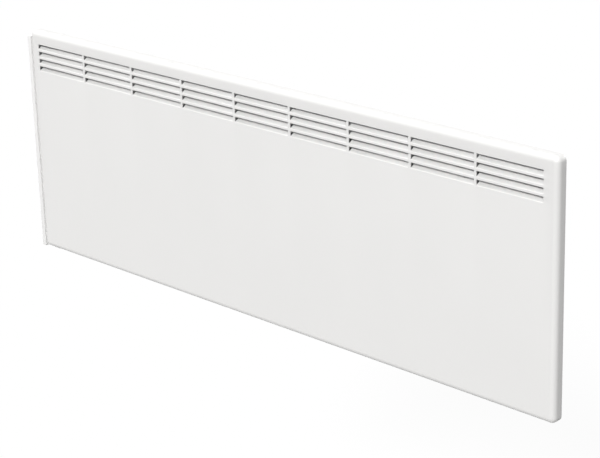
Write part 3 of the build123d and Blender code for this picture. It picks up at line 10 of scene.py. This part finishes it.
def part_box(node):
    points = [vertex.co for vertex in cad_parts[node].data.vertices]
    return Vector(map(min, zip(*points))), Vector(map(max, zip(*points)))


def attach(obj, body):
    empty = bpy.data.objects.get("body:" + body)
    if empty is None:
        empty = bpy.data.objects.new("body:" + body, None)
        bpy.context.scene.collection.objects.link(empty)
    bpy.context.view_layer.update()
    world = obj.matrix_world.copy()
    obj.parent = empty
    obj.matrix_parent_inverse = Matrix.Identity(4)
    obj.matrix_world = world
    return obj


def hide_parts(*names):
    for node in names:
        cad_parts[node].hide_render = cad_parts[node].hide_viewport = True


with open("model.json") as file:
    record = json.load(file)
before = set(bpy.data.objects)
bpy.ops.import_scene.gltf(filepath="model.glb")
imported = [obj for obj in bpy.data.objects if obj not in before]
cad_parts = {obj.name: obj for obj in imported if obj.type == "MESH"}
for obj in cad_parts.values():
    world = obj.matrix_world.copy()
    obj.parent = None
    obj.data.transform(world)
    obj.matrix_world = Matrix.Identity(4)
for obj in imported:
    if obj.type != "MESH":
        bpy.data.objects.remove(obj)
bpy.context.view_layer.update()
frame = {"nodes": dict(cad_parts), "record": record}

# Wall panel convector heater. Metres, +Z up, the room on the -Y side, the wall plane at y = 0.

# ---------------------------------------------------------------- sizes shared by several pieces
SHEET = 0.001  # thickness of the panel's steel
PANEL_CORNER = 0.009  # corner radius of the panel, seen from the front
PANEL_EDGE = 0.008  # radius of the fold from the face to the sides
PANEL_BACK_BEND = 0.0014  # radius of the fold from the sides to the hem
PANEL_HEM = 0.007
PANEL_LEFT_MARGIN = 0.0035  # how much nearer the louvres the panel's left edge is than its right
LOUVRE_COLUMNS = 9
LOUVRE_ROWS = 4
LOUVRE_PITCH = 0.1174
LOUVRE_LENGTH = 0.1134
LOUVRE_ROW_PITCH = 0.0123
LOUVRE_SLOT = 0.0083
LOUVRE_TOP_MARGIN = 0.0216  # panel's top to the first slot's upper edge
LOUVRE_REACH = 0.0089  # length of a tongue, from the corner that its two flats would make
LOUVRE_SLOPE = radians(30)  # rise of a tongue from level
LOUVRE_BEND = 0.0015  # radius of the fold from a rib to its tongue
CUT_EDGE = 0.0002  # width of the paint's rounding on sheared edges
CUT_EDGE_ANGLE = radians(50)  # edges sharper than this are rounded so

EDGE_STEPS = 10  # quads round the panel's edge
BACK_BEND_STEPS = 4
CORNER_STEPS = 8
LOUVRE_BEND_STEPS = 6
FOLD_ANGLE = radians(35)  # faces that meet at more than this show an edge
POINT_GRID = 1e7  # points that agree to this many parts of a metre are joined
NEAREST_POINTS = 1e-6  # points of a finished piece that are nearer than this are joined too

BOX_LOWERED = 0.0017  # how much lower the photograph shows the box's top
BOX_TOP_ZONE = 0.008  # height of the box's part that goes down with its top

# The print on the knob, on the cap over it and on the rocker.
DIAL_GRIP = 0.0032  # height of the knob's grip over its disc
DIAL_DISH = 0.017  # radius of the dish round the knob
DIAL_NUMBER_TURNS = (40, 90, 140, 220, 270)  # degrees clockwise from the pointer
DIAL_NUMBER_RADIUS = 0.0105
DIAL_NUMBER_SIZE = 0.0046
INK_DEPTH = 0.00003  # how far the numbers stand on the plastic
LINE_HALF_WIDTH = 0.0006  # of the pointer's line and of the index mark
POINTER_DROP = 0.0052  # knob's top to the middle of the pointer's line
POINTER_HALF = 0.0032  # half the length of that line
INDEX_RISE = 0.0034  # dish's rim to the middle of the index mark
INDEX_HALF = 0.0017
FLAT_REACH = 0.0004  # how deep the print on a flat face reaches
ROCKER_REACH = 0.0035  # the same on the rocker, whose face slopes
ROCKER_MARK_RISE = 0.0058  # rocker's middle to the middle of each of its marks
ROCKER_STROKE_HALF = 0.00038
ROCKER_BAR_HALF = 0.0019
ROCKER_RING = 0.0017

panel_low, panel_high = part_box("front_panel")
cap_low, cap_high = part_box("control_cap")
dial_low, dial_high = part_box("thermostat_knob")
dial_middle = (dial_low + dial_high) / 2
rocker_low, rocker_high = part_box("switch_rocker")
rocker_middle = (rocker_low + rocker_high) / 2
earth_low, earth_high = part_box("wire_earth")


# ---------------------------------------------------------------- camera, world, lamps, floor
CAMERA_PLACE = (2.0046, -2.0123, 0.9652)
CAMERA_HEADING = radians(45.031)  # about Z, from looking along +Y
CAMERA_TILT = radians(70.274)  # from looking straight down
CAMERA_ROLL = radians(-1.670)
CAMERA_LENS = 117.04  # mm, on a sensor 36 mm wide

# Distant lights: the way to each, seen from the heater, and its strength.
LIGHTS = {
    "key": ((0.27, -0.785, 0.56), 2.8),
    "top": ((0.0, -0.1, 0.995), 1.05),
    "back": ((0.05, 0.97, 0.2), 1.1),
    "side": ((-0.92, 0.30, 0.25), 0.8),
}
LIGHT_SPREAD = radians(10)
SKY_STRENGTH = 0.24
FLOOR_LEVEL = -1.1
FLOOR_HALF = 12.0
FLOOR_SHADE = 0.08  # how much of the lit floor the camera sees beside plain white
FLOOR_BOUNCE = 0.26  # how much of its light the floor gives back to the heater
FLOOR_COLOUR = 0.84
WHITE = (1, 1, 1, 1)


def put_in_the_scene(name, data):
    """A new object with this data, at the origin."""
    made = bpy.data.objects.new(name, data)
    bpy.context.scene.collection.objects.link(made)
    return made


def camera_of_the_photograph():
    """Turned about Z by the heading, leant by the tilt about its X, rolled about its own line."""
    data = bpy.data.cameras.new("camera")
    data.lens = CAMERA_LENS
    camera = put_in_the_scene("camera", data)
    turns = (
        Matrix.Rotation(CAMERA_HEADING, 4, "Z")
        @ Matrix.Rotation(CAMERA_TILT, 4, "X")
        @ Matrix.Rotation(CAMERA_ROLL, 4, "Z")
    )
    camera.matrix_world = Matrix.Translation(CAMERA_PLACE) @ turns
    bpy.context.scene.camera = camera


def distant_light(name, way, strength):
    """A wide, soft light from far off, so that it is as strong on the floor as on the heater."""
    data = bpy.data.lights.new(name, "SUN")
    data.energy = strength
    data.angle = LIGHT_SPREAD
    lamp = put_in_the_scene(name, data)
    lamp.matrix_world = Vector(way).to_track_quat("Z", "Y").to_matrix().to_4x4()


# ---------------------------------------------------------------- shader maths
class Value:
    """An output of a shader node. Arithmetic on it adds a Math node to the same tree."""

    def __init__(self, tree, socket):
        self.tree = tree
        self.socket = socket

    def maths(self, operation, first, second):
        return self.tree.node("ShaderNodeMath", {"operation": operation}, {0: first, 1: second})

    def __add__(self, other):
        return self.maths("ADD", self, other)

    def __mul__(self, other):
        return self.maths("MULTIPLY", self, other)

    def __rsub__(self, other):
        return self.maths("SUBTRACT", other, self)

    __radd__ = __add__
    __rmul__ = __mul__


class Tree:
    """The node tree of a material or of the world, emptied of what Blender puts there."""

    def __init__(self, owner):
        owner.use_nodes = True
        self.nodes = owner.node_tree.nodes
        self.links = owner.node_tree.links
        self.nodes.clear()

    def node(self, kind, settings=None, inputs=None, output=0):
        """Adds a node, sets it, feeds its inputs with numbers or Values, and gives one output."""
        made = self.nodes.new(kind)
        for name, setting in (settings or {}).items():
            setattr(made, name, setting)
        for name, value in (inputs or {}).items():
            if isinstance(value, Value):
                self.links.new(value.socket, made.inputs[name])
            else:
                made.inputs[name].default_value = value
        return Value(self, made.outputs[output] if made.outputs else None)


class Finish(Tree):
    """A material: one Principled shader, whose fixed numbers are set on its own sockets."""

    def __init__(self, name, roughness, metallic=0.0, **fixed):
        self.material = bpy.data.materials.new(name)
        super().__init__(self.material)
        self.place = self.node("ShaderNodeTexCoord", output="Object")
        inputs = {"Roughness": roughness, "Metallic": metallic}
        inputs.update({socket.replace("_", " "): value for socket, value in fixed.items()})
        shader = self.node("ShaderNodeBsdfPrincipled", {}, inputs)
        self.shader = shader.socket.node
        self.node("ShaderNodeOutputMaterial", {}, {"Surface": shader})

    def feed(self, socket, value):
        """Links a varying value to one of the shader's sockets."""
        self.links.new(value.socket, self.shader.inputs[socket])

    def noise(self, scale, detail=2.0, stretch=(1.0, 1.0, 1.0)):
        """Noise from 0 to 1, scale grains to the metre, drawn out where stretch is small."""
        place = self.node("ShaderNodeMapping", {}, {"Vector": self.place, "Scale": stretch})
        inputs = {"Vector": place, "Scale": scale, "Detail": detail}
        return self.node("ShaderNodeTexNoise", {}, inputs)

    def mixed(self, first, second, factor):
        """A Mix node on colours; 0, 6 and 7 are its inputs for colours and 2 its output."""
        inputs = {0: factor, 6: first, 7: second}
        return self.node("ShaderNodeMix", {"data_type": "RGBA"}, inputs, 2)

    def between(self, low, high, factor):
        """A colour that runs from low to high as factor runs from 0 to 1."""
        return self.mixed((*low, 1), (*high, 1), factor)

    def inked(self, base, ink, mask):
        """The base colour with ink over it where mask is 1."""
        return self.mixed(base, (*ink, 1), mask)

    def within(self, value, middle, half):
        """1 where value is no more than half away from middle, 0 elsewhere."""
        inputs = {0: value, 1: middle, 2: half}
        return self.node("ShaderNodeMath", {"operation": "COMPARE"}, inputs)

    def along(self, axis):
        """Object coordinate along X, Y or Z."""
        return self.node("ShaderNodeSeparateXYZ", {}, {0: self.place}, "XYZ".index(axis))

    def bar(self, middle, half):
        """1 in a box round middle, seen along X; half is half its width in Y and height in Z."""
        in_width = self.within(self.along("Y"), middle[1], half[0])
        return in_width * self.within(self.along("Z"), middle[2], half[1])

    def ring(self, middle, radius, half):
        """1 on a ring round middle, seen along X, whose stroke is half to each side of radius."""
        from_middle = (0.0, -middle[1], -middle[2])
        inputs = {"Vector": self.place, "Scale": (0.0, 1.0, 1.0), "Location": from_middle}
        place = self.node("ShaderNodeMapping", {}, inputs)
        away = self.node("ShaderNodeVectorMath", {"operation": "LENGTH"}, {0: place}, "Value")
        return self.within(away, radius, half)

    def bump(self, height, depth):
        """The normal of a surface whose height runs over depth metres."""
        inputs = {"Height": height, "Distance": depth}
        self.feed("Normal", self.node("ShaderNodeBump", {}, inputs))


# ---------------------------------------------------------------- finishes
INK = (0.035, 0.036, 0.04)  # of the marks that are part of a plastic's own colour
CRYSTAL_WOBBLE = 0.006  # how far the zinc crystals' borders wander


def powder_coat():
    """White powder coat: orange peel of about 2 mm, fine grain, faintly uneven gloss and tone."""
    coat = Finish("powder_coat", roughness=0.42, IOR=1.5)
    peel = coat.noise(scale=430, detail=1.0)
    grain = coat.noise(scale=2600)
    cloud = coat.noise(scale=7, detail=3.0)
    coat.feed("Base Color", coat.between((0.79, 0.785, 0.775), (0.815, 0.81, 0.80), cloud))
    coat.feed("Roughness", 0.36 + 0.12 * cloud)
    coat.bump(peel + 0.25 * grain, depth=0.00003)
    return coat.material


def moulded_plastic(name, light, dark, roughness, marks=None):
    """Injection-moulded plastic with a fine eroded texture, and marks printed on it."""
    plastic = Finish(name, roughness, IOR=1.46)
    grain = plastic.noise(scale=1900, detail=3.0)
    cloud = plastic.noise(scale=22)
    colour = plastic.between(dark, light, cloud)
    if marks:
        colour = plastic.inked(colour, INK, marks(plastic))
    plastic.feed("Base Color", colour)
    plastic.feed("Roughness", roughness - 0.05 + 0.1 * grain)
    plastic.bump(grain, depth=0.00002)
    return plastic.material


def galvanised(name, dark, light, crystal_width):
    """Hot-dip zinc: crystals of about the width given, each with its own tone and gloss."""
    zinc = Finish(name, roughness=0.42, metallic=1.0)
    wobble = zinc.noise(scale=60)
    inputs = {0: wobble, 1: (CRYSTAL_WOBBLE,) * 3, 2: zinc.place}
    place = zinc.node("ShaderNodeVectorMath", {"operation": "MULTIPLY_ADD"}, inputs)
    inputs = {"Vector": place, "Scale": 1 / crystal_width}
    crystal = zinc.node("ShaderNodeTexVoronoi", {}, inputs, "Color")
    tone = zinc.node("ShaderNodeSeparateColor", {}, {0: crystal})
    zinc.feed("Base Color", zinc.between(dark, light, tone))
    zinc.feed("Roughness", 0.34 + 0.2 * tone)
    zinc.bump(zinc.noise(scale=900), depth=0.00002)
    return zinc.material


def drawn_metal(name, light, dark, roughness, stretch, scale=900):
    """Metal with marks drawn out along the axis whose stretch is small."""
    metal = Finish(name, roughness, metallic=1.0)
    marks = metal.noise(scale, detail=3.0, stretch=stretch)
    metal.feed("Base Color", metal.between(dark, light, marks))
    metal.feed("Roughness", roughness - 0.06 + 0.14 * marks)
    metal.bump(marks, depth=0.00002)
    return metal.material


def heated_steel():
    """Stainless tube with a straw tint where it has been hot."""
    steel = Finish("stainless_tube", roughness=0.34, metallic=1.0)
    tint = steel.noise(scale=26, detail=3.0)
    marks = steel.noise(scale=900, stretch=(0.02, 1.0, 1.0))
    steel.feed("Base Color", steel.between((0.44, 0.42, 0.40), (0.55, 0.47, 0.34), tint))
    steel.feed("Roughness", 0.28 + 0.14 * marks)
    steel.bump(marks, depth=0.00001)
    return steel.material


def rubber(name, colour, stripe=None, marks=None):
    """Matt silicone with a faint bloom, and where marks is 1 a stripe of another colour."""
    silicone = Finish(name, roughness=0.62)
    bloom = silicone.noise(scale=160, detail=3.0)
    lighter = tuple(min(1.0, tone * 1.18 + 0.01) for tone in colour)
    shade = silicone.between(colour, lighter, bloom)
    if marks:
        shade = silicone.inked(shade, stripe, marks(silicone))
    silicone.feed("Base Color", shade)
    silicone.feed("Roughness", 0.55 + 0.16 * bloom)
    silicone.bump(silicone.noise(scale=1400), depth=0.00002)
    return silicone.material


def print_ink():
    """Dark grey pad print, a little worn."""
    ink = Finish("print_ink", roughness=0.5)
    wear = ink.noise(scale=500, detail=3.0)
    ink.feed("Base Color", ink.between((0.045, 0.047, 0.05), (0.10, 0.10, 0.105), wear))
    ink.feed("Roughness", 0.42 + 0.15 * wear)
    return ink.material


def line_mark(plastic, height, half_length, face):
    """A thin upright line in the dial's middle plane, centred at a height on a flat end face."""
    line = plastic.bar((0.0, dial_middle.y, height), (LINE_HALF_WIDTH, half_length))
    return line * plastic.within(plastic.along("X"), face, FLAT_REACH)


def pointer_line(plastic):
    """A line on the outer face of the knob's grip, at its pointing end."""
    return line_mark(plastic, dial_high.z - POINTER_DROP, POINTER_HALF, dial_low.x)


def index_mark(plastic):
    """A short line on the cap's outer face, over the dish."""
    height = dial_middle.z + DIAL_DISH + INDEX_RISE
    return line_mark(plastic, height, INDEX_HALF, cap_low.x)


def on_and_off(plastic):
    """A bar on the rocker's upper half and a ring on its lower half."""
    upper = (0.0, rocker_middle.y, rocker_middle.z + ROCKER_MARK_RISE)
    lower = (0.0, rocker_middle.y, rocker_middle.z - ROCKER_MARK_RISE)
    front = plastic.within(plastic.along("X"), rocker_low.x, ROCKER_REACH)
    bar = plastic.bar(upper, (ROCKER_STROKE_HALF, ROCKER_BAR_HALF))
    return (bar + plastic.ring(lower, ROCKER_RING, ROCKER_STROKE_HALF)) * front


def knob_and_rocker_marks(plastic):
    """The print on the two pieces of one plastic, which are far enough apart to share it."""
    return pointer_line(plastic) + on_and_off(plastic)


def half_of_the_wire(silicone):
    """The half of the earth wire that faces the casing."""
    half_width = (earth_high.x - earth_low.x) / 2
    return silicone.within(silicone.along("X"), earth_high.x, half_width)


finishes = {
    "panel_white": powder_coat(),
    "galvanised_sheet": galvanised(
        "galvanised_sheet", (0.56, 0.57, 0.58), (0.66, 0.67, 0.68), crystal_width=0.004),
    "galvanised_bracket": galvanised(
        "galvanised_bracket", (0.50, 0.52, 0.54), (0.68, 0.70, 0.71), crystal_width=0.009),
    "bright_sheet": drawn_metal(
        "bright_sheet", (0.80, 0.80, 0.80), (0.68, 0.69, 0.70), 0.26, (0.02, 1, 1)),
    "zinc_steel": drawn_metal(
        "zinc_steel", (0.70, 0.71, 0.70), (0.52, 0.53, 0.55), 0.34, (1, 1, 1), scale=1500),
    "spring_steel": drawn_metal(
        "spring_steel", (0.34, 0.35, 0.37), (0.22, 0.23, 0.25), 0.34, (1, 0.03, 0.03)),
    "stainless_tube": heated_steel(),
    "fin_aluminium": drawn_metal(
        "fin_aluminium", (0.76, 0.77, 0.78), (0.62, 0.63, 0.65), 0.38, (0.01, 1, 1)),
    "box_plastic": moulded_plastic(
        "box_plastic", (0.87, 0.868, 0.86), (0.85, 0.847, 0.838), 0.45, index_mark),
    "knob_plastic": moulded_plastic(
        "knob_plastic", (0.78, 0.78, 0.77), (0.75, 0.75, 0.74), 0.38, knob_and_rocker_marks),
    "dark_plastic": moulded_plastic(
        "dark_plastic", (0.030, 0.031, 0.033), (0.020, 0.021, 0.022), 0.36),
    "block_plastic": moulded_plastic(
        "block_plastic", (0.74, 0.72, 0.64), (0.69, 0.66, 0.57), 0.5),
    "seal_silicone": rubber("seal_silicone", (0.35, 0.06, 0.035)),
    "wire_brown": rubber("wire_brown", (0.10, 0.045, 0.02)),
    "wire_blue": rubber("wire_blue", (0.02, 0.12, 0.42)),
    "wire_white": rubber("wire_white", (0.62, 0.61, 0.58)),
    "wire_green": rubber(
        "wire_green", (0.07, 0.32, 0.06), (0.75, 0.60, 0.04), half_of_the_wire),
}


def finish_the_nodes():
    """Gives each CAD node the finish of the material slot that the record names for it."""
    slots = {part["node"]: part["material_slot"] for part in frame["record"]["subparts"]}
    for name, node in frame["nodes"].items():
        node.data.materials.clear()
        node.data.materials.append(finishes[slots[name]])


# ---------------------------------------------------------------- surfaces
def quads(rows, columns, closed=False):
    """Faces of a grid of points; a closed grid joins its last column to its first."""
    index = np.arange(rows * columns).reshape(rows, columns)
    if closed:
        index = np.hstack([index, index[:, :1]])
    corners = [index[:-1, :-1], index[1:, :-1], index[1:, 1:], index[:-1, 1:]]
    return np.stack(corners, axis=-1).reshape(-1, 4)


def surface(name, sheets, material, body):
    """One mesh from several (points, faces) sheets, joined where their points meet."""
    points = np.concatenate([sheet[0].reshape(-1, 3) for sheet in sheets])
    starts = np.cumsum([0] + [sheet[0].reshape(-1, 3).shape[0] for sheet in sheets])
    faces = np.concatenate([sheet[1] + start for sheet, start in zip(sheets, starts)])
    keys = np.round(points * POINT_GRID).astype(np.int64)
    _, first, same = np.unique(keys, axis=0, return_index=True, return_inverse=True)
    faces = same.reshape(-1)[faces]
    without_repeats = [list(dict.fromkeys(face)) for face in faces.tolist()]
    mesh = bpy.data.meshes.new(name)
    mesh.from_pydata(points[first].tolist(), [], without_repeats)
    mesh.validate()
    mesh.materials.append(material)
    piece = put_in_the_scene(name, mesh)
    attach(piece, body)
    return piece


def settle(piece):
    """Applies a piece's modifiers and marks its edges: flats stay flat and curves smooth."""
    graph = bpy.context.evaluated_depsgraph_get()
    mesh = bpy.data.meshes.new_from_object(piece.evaluated_get(graph))
    piece.modifiers.clear()
    piece.data = mesh
    joined = bmesh.new()
    joined.from_mesh(mesh)
    bmesh.ops.remove_doubles(joined, verts=joined.verts, dist=NEAREST_POINTS)
    joined.to_mesh(mesh)
    joined.free()
    mesh.shade_smooth()
    mesh.set_sharp_from_angle(angle=FOLD_ANGLE)
    return piece


# ---------------------------------------------------------------- front panel
def arc(steps, turn):
    """Angles of an arc from 0 to turn, both ends included."""
    return np.linspace(0.0, turn, steps + 1)


def panel_profile():
    """(inset from the panel's outline, depth behind its face), from the flat face to the hem.

    The face is flat up to the edge radius. Then come a quarter circle, the side, a small quarter
    circle and the hem, which turns in behind the face.
    """
    depth = panel_high.y - panel_low.y
    edge = arc(EDGE_STEPS, pi / 2)
    bend = arc(BACK_BEND_STEPS, pi / 2)
    inset = np.concatenate([
        [PANEL_CORNER],
        PANEL_EDGE - PANEL_EDGE * np.sin(edge),
        PANEL_BACK_BEND - PANEL_BACK_BEND * np.cos(bend),
        [PANEL_HEM],
    ])
    behind = np.concatenate([
        [0.0],
        PANEL_EDGE - PANEL_EDGE * np.cos(edge),
        depth - PANEL_BACK_BEND + PANEL_BACK_BEND * np.sin(bend),
        [depth],
    ])
    return inset, behind


def panel_outline(x_lines, z_lines):
    """Anchor points round the panel and the outward direction at each.

    The anchors of a corner are all at its arc's centre. A point of the outline at some inset is
    its anchor plus (corner radius - inset) times outward.
    """
    anchors, outward = [], []
    sides = (
        (x_lines, np.full_like(x_lines, z_lines[0]), -pi / 2),
        (np.full_like(z_lines, x_lines[-1]), z_lines, 0.0),
        (x_lines[::-1], np.full_like(x_lines, z_lines[-1]), pi / 2),
        (np.full_like(z_lines, x_lines[0]), z_lines[::-1], pi),
    )
    for x, z, facing in sides:
        corner = facing + arc(CORNER_STEPS, pi / 2)[1:-1]
        angle = np.concatenate([np.full_like(x, facing), corner])
        anchors.append(np.stack([np.append(x, np.full(corner.size, x[-1])),
                                 np.append(z, np.full(corner.size, z[-1]))], axis=1))
        outward.append(np.stack([np.cos(angle), np.sin(angle)], axis=1))
    return np.concatenate(anchors), np.concatenate(outward)


def tongue_profile():
    """(depth behind the face, height from the slot's lower corner) of a tongue's outer side.

    A convex arc turns the rib's flat into the tongue's slope; the flats would meet at height 0.
    """
    turn = pi / 2 - LOUVRE_SLOPE
    angle = arc(LOUVRE_BEND_STEPS, turn)
    start = -LOUVRE_BEND * tan(turn / 2)
    behind = LOUVRE_BEND - LOUVRE_BEND * np.cos(angle)
    height = start + LOUVRE_BEND * np.sin(angle)
    return (np.append(behind, LOUVRE_REACH * cos(LOUVRE_SLOPE)),
            np.append(height, LOUVRE_REACH * sin(LOUVRE_SLOPE)))


def front_panel():
    """The pressed tray: a flat field with slots, a tongue at each slot's lower edge, and a rim.

    The field is a grid of x and z lines without the cells of the slots. Each tongue carries its
    profile along its slot. The rim carries the panel's profile round its outline.
    """
    face = panel_low.y
    columns = (np.arange(LOUVRE_COLUMNS) - (LOUVRE_COLUMNS - 1) / 2) * LOUVRE_PITCH
    lefts, rights = columns - LOUVRE_LENGTH / 2, columns + LOUVRE_LENGTH / 2
    tops = panel_high.z - LOUVRE_TOP_MARGIN - np.arange(LOUVRE_ROWS) * LOUVRE_ROW_PITCH
    corners = tops - LOUVRE_SLOT
    behind, height = tongue_profile()
    roots = corners + height[0]
    x_ends = (panel_low.x + PANEL_LEFT_MARGIN + PANEL_CORNER, panel_high.x - PANEL_CORNER)
    z_ends = (panel_low.z + PANEL_CORNER, panel_high.z - PANEL_CORNER)
    x_lines = np.sort(np.concatenate([x_ends, lefts, rights]))
    z_lines = np.sort(np.concatenate([z_ends, roots, tops]))

    x_grid, z_grid = np.meshgrid(x_lines, z_lines)
    field = np.stack([x_grid, np.full_like(x_grid, face), z_grid], axis=-1)
    in_column = np.isin(x_lines[:-1], lefts)
    in_row = np.isin(z_lines[:-1], roots)
    cut = (in_row[:, None] & in_column[None, :]).reshape(-1)
    sheets = [(field, quads(z_lines.size, x_lines.size)[~cut][:, ::-1])]

    for left, right in zip(lefts, rights):
        for corner in corners:
            ends = np.array([left, right])
            tongue = np.stack([
                np.broadcast_to(ends[None, :], (behind.size, 2)),
                np.broadcast_to(face + behind[:, None], (behind.size, 2)),
                np.broadcast_to(corner + height[:, None], (behind.size, 2)),
            ], axis=-1)
            sheets.append((tongue, quads(behind.size, 2)[:, ::-1]))

    anchors, outward = panel_outline(x_lines, z_lines)
    inset, depth = panel_profile()
    reach = (PANEL_CORNER - inset)[:, None, None] * outward[None]
    ring = anchors[None] + reach
    behind_face = np.broadcast_to(face + depth[:, None], ring.shape[:2])
    rim = np.stack([ring[..., 0], behind_face, ring[..., 1]], axis=-1)
    sheets.append((rim, quads(inset.size, anchors.shape[0], closed=True)))

    panel = surface("panel", sheets, finishes["panel_white"], "heater")
    wall = panel.modifiers.new("sheet", "SOLIDIFY")
    wall.thickness = SHEET
    wall.offset = -1.0
    wall.use_even_offset = True
    cut_edges = panel.modifiers.new("cut_edges", "BEVEL")
    cut_edges.width = CUT_EDGE
    cut_edges.segments = 2
    cut_edges.limit_method = "ANGLE"
    cut_edges.angle_limit = CUT_EDGE_ANGLE
    settle(panel)
    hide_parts("front_panel")


# ---------------------------------------------------------------- control box
def points_and_faces(node):
    """A copy of a node's points and of its triangles."""
    mesh = frame["nodes"][node].data
    points = np.empty(3 * len(mesh.vertices))
    mesh.vertices.foreach_get("co", points)
    corners = np.empty(len(mesh.loops), dtype=np.int64)
    mesh.loops.foreach_get("vertex_index", corners)
    return points.reshape(-1, 3), corners.reshape(-1, 3)


def lowered_top(name, node):
    """Replaces a node of the box by one whose top is lowered: z' = z - BOX_LOWERED near it."""
    points, faces = points_and_faces(node)
    points[points[:, 2] > cap_high.z - BOX_TOP_ZONE, 2] -= BOX_LOWERED
    piece = settle(surface(name, [(points, faces)], finishes["box_plastic"], "heater"))
    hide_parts(node)


# ---------------------------------------------------------------- print on the knob
def flat_number(number):
    """The mesh of one of the dial's numbers, centred in the XY plane and thickened both ways."""
    text = bpy.data.curves.new("number", "FONT")
    text.body = str(number)
    text.size = DIAL_NUMBER_SIZE
    text.align_x = "CENTER"
    text.align_y = "CENTER"
    text.extrude = INK_DEPTH
    text.resolution_u = 4
    letter = put_in_the_scene("number", text)
    graph = bpy.context.evaluated_depsgraph_get()
    graph.update()
    mesh = bpy.data.meshes.new_from_object(letter.evaluated_get(graph))
    bpy.data.objects.remove(letter)
    return mesh


def dial_numbers():
    """1 to 5 round the knob's disc, each upright when it is turned to the index mark."""
    onto_disc = Matrix.Translation((dial_low.x + DIAL_GRIP, dial_middle.y, dial_middle.z))
    seen_from_the_end = Matrix(((0, 0, -1, 0), (-1, 0, 0, 0), (0, 1, 0, 0), (0, 0, 0, 1)))
    outwards = Matrix.Translation((0, DIAL_NUMBER_RADIUS, 0))
    sheet = bmesh.new()
    for number, turn in enumerate(DIAL_NUMBER_TURNS, start=1):
        flat = flat_number(number)
        round_the_dial = Matrix.Rotation(radians(-turn), 4, "Z")
        flat.transform(onto_disc @ seen_from_the_end @ round_the_dial @ outwards)
        sheet.from_mesh(flat)
    bmesh.ops.remove_doubles(sheet, verts=sheet.verts, dist=NEAREST_POINTS)
    bmesh.ops.recalc_face_normals(sheet, faces=sheet.faces)
    mesh = bpy.data.meshes.new("dial_numbers")
    sheet.to_mesh(mesh)
    sheet.free()
    mesh.materials.append(print_ink())
    piece = put_in_the_scene("dial_numbers", mesh)
    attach(piece, "knob")


# ---------------------------------------------------------------- floor and world
def white_for_the_eye(tree, dim):
    """1 for camera, mirror and glass rays and 0 for the rest, which take the dim strength."""
    kinds = ("Camera", "Glossy", "Transmission")
    rays = [tree.node("ShaderNodeLightPath", output=f"Is {kind} Ray") for kind in kinds]
    seen = rays[0] + rays[1] + rays[2]
    return dim + (1.0 - dim) * seen


def sky():
    """Even light from all round, seen as plain white."""
    world = bpy.data.worlds.new("sky")
    bpy.context.scene.world = world
    tree = Tree(world)
    strength = white_for_the_eye(tree, SKY_STRENGTH)
    shade = tree.node("ShaderNodeBackground", {}, {"Color": WHITE, "Strength": strength})
    tree.node("ShaderNodeOutputWorld", {}, {"Surface": shade})


def floor():
    """A pale floor with the heater's shadow on it, nearly plain white and clear from below."""
    material = bpy.data.materials.new("floor")
    tree = Tree(material)
    tone = white_for_the_eye(tree, FLOOR_BOUNCE / FLOOR_COLOUR) * FLOOR_COLOUR
    lit = tree.node("ShaderNodeBsdfDiffuse", {}, {"Color": tone})
    plain = tree.node("ShaderNodeEmission", {}, {"Color": WHITE, "Strength": 1.0})
    share = white_for_the_eye(tree, 0.0) * (1 - FLOOR_SHADE)
    shade = tree.node("ShaderNodeMixShader", {}, {0: share, 1: lit, 2: plain})
    from_below = tree.node("ShaderNodeNewGeometry", output="Backfacing")
    clear = tree.node("ShaderNodeBsdfTransparent")
    shade = tree.node("ShaderNodeMixShader", {}, {0: from_below, 1: shade, 2: clear})
    tree.node("ShaderNodeOutputMaterial", {}, {"Surface": shade})
    mesh = bpy.data.meshes.new("floor")
    signs = ((-1, -1), (1, -1), (1, 1), (-1, 1))
    corners = [(x * FLOOR_HALF, y * FLOOR_HALF, FLOOR_LEVEL) for x, y in signs]
    mesh.from_pydata(corners, [], [(0, 1, 2, 3)])
    mesh.materials.append(material)
    piece = put_in_the_scene("floor", mesh)


bpy.context.scene.view_settings.view_transform = "Standard"
camera_of_the_photograph()
for light, (way, strength) in LIGHTS.items():
    distant_light(light, way, strength)
sky()
floor()
finish_the_nodes()
front_panel()
lowered_top("end_cap", "control_cap")
lowered_top("box_base", "control_base")
dial_numbers()
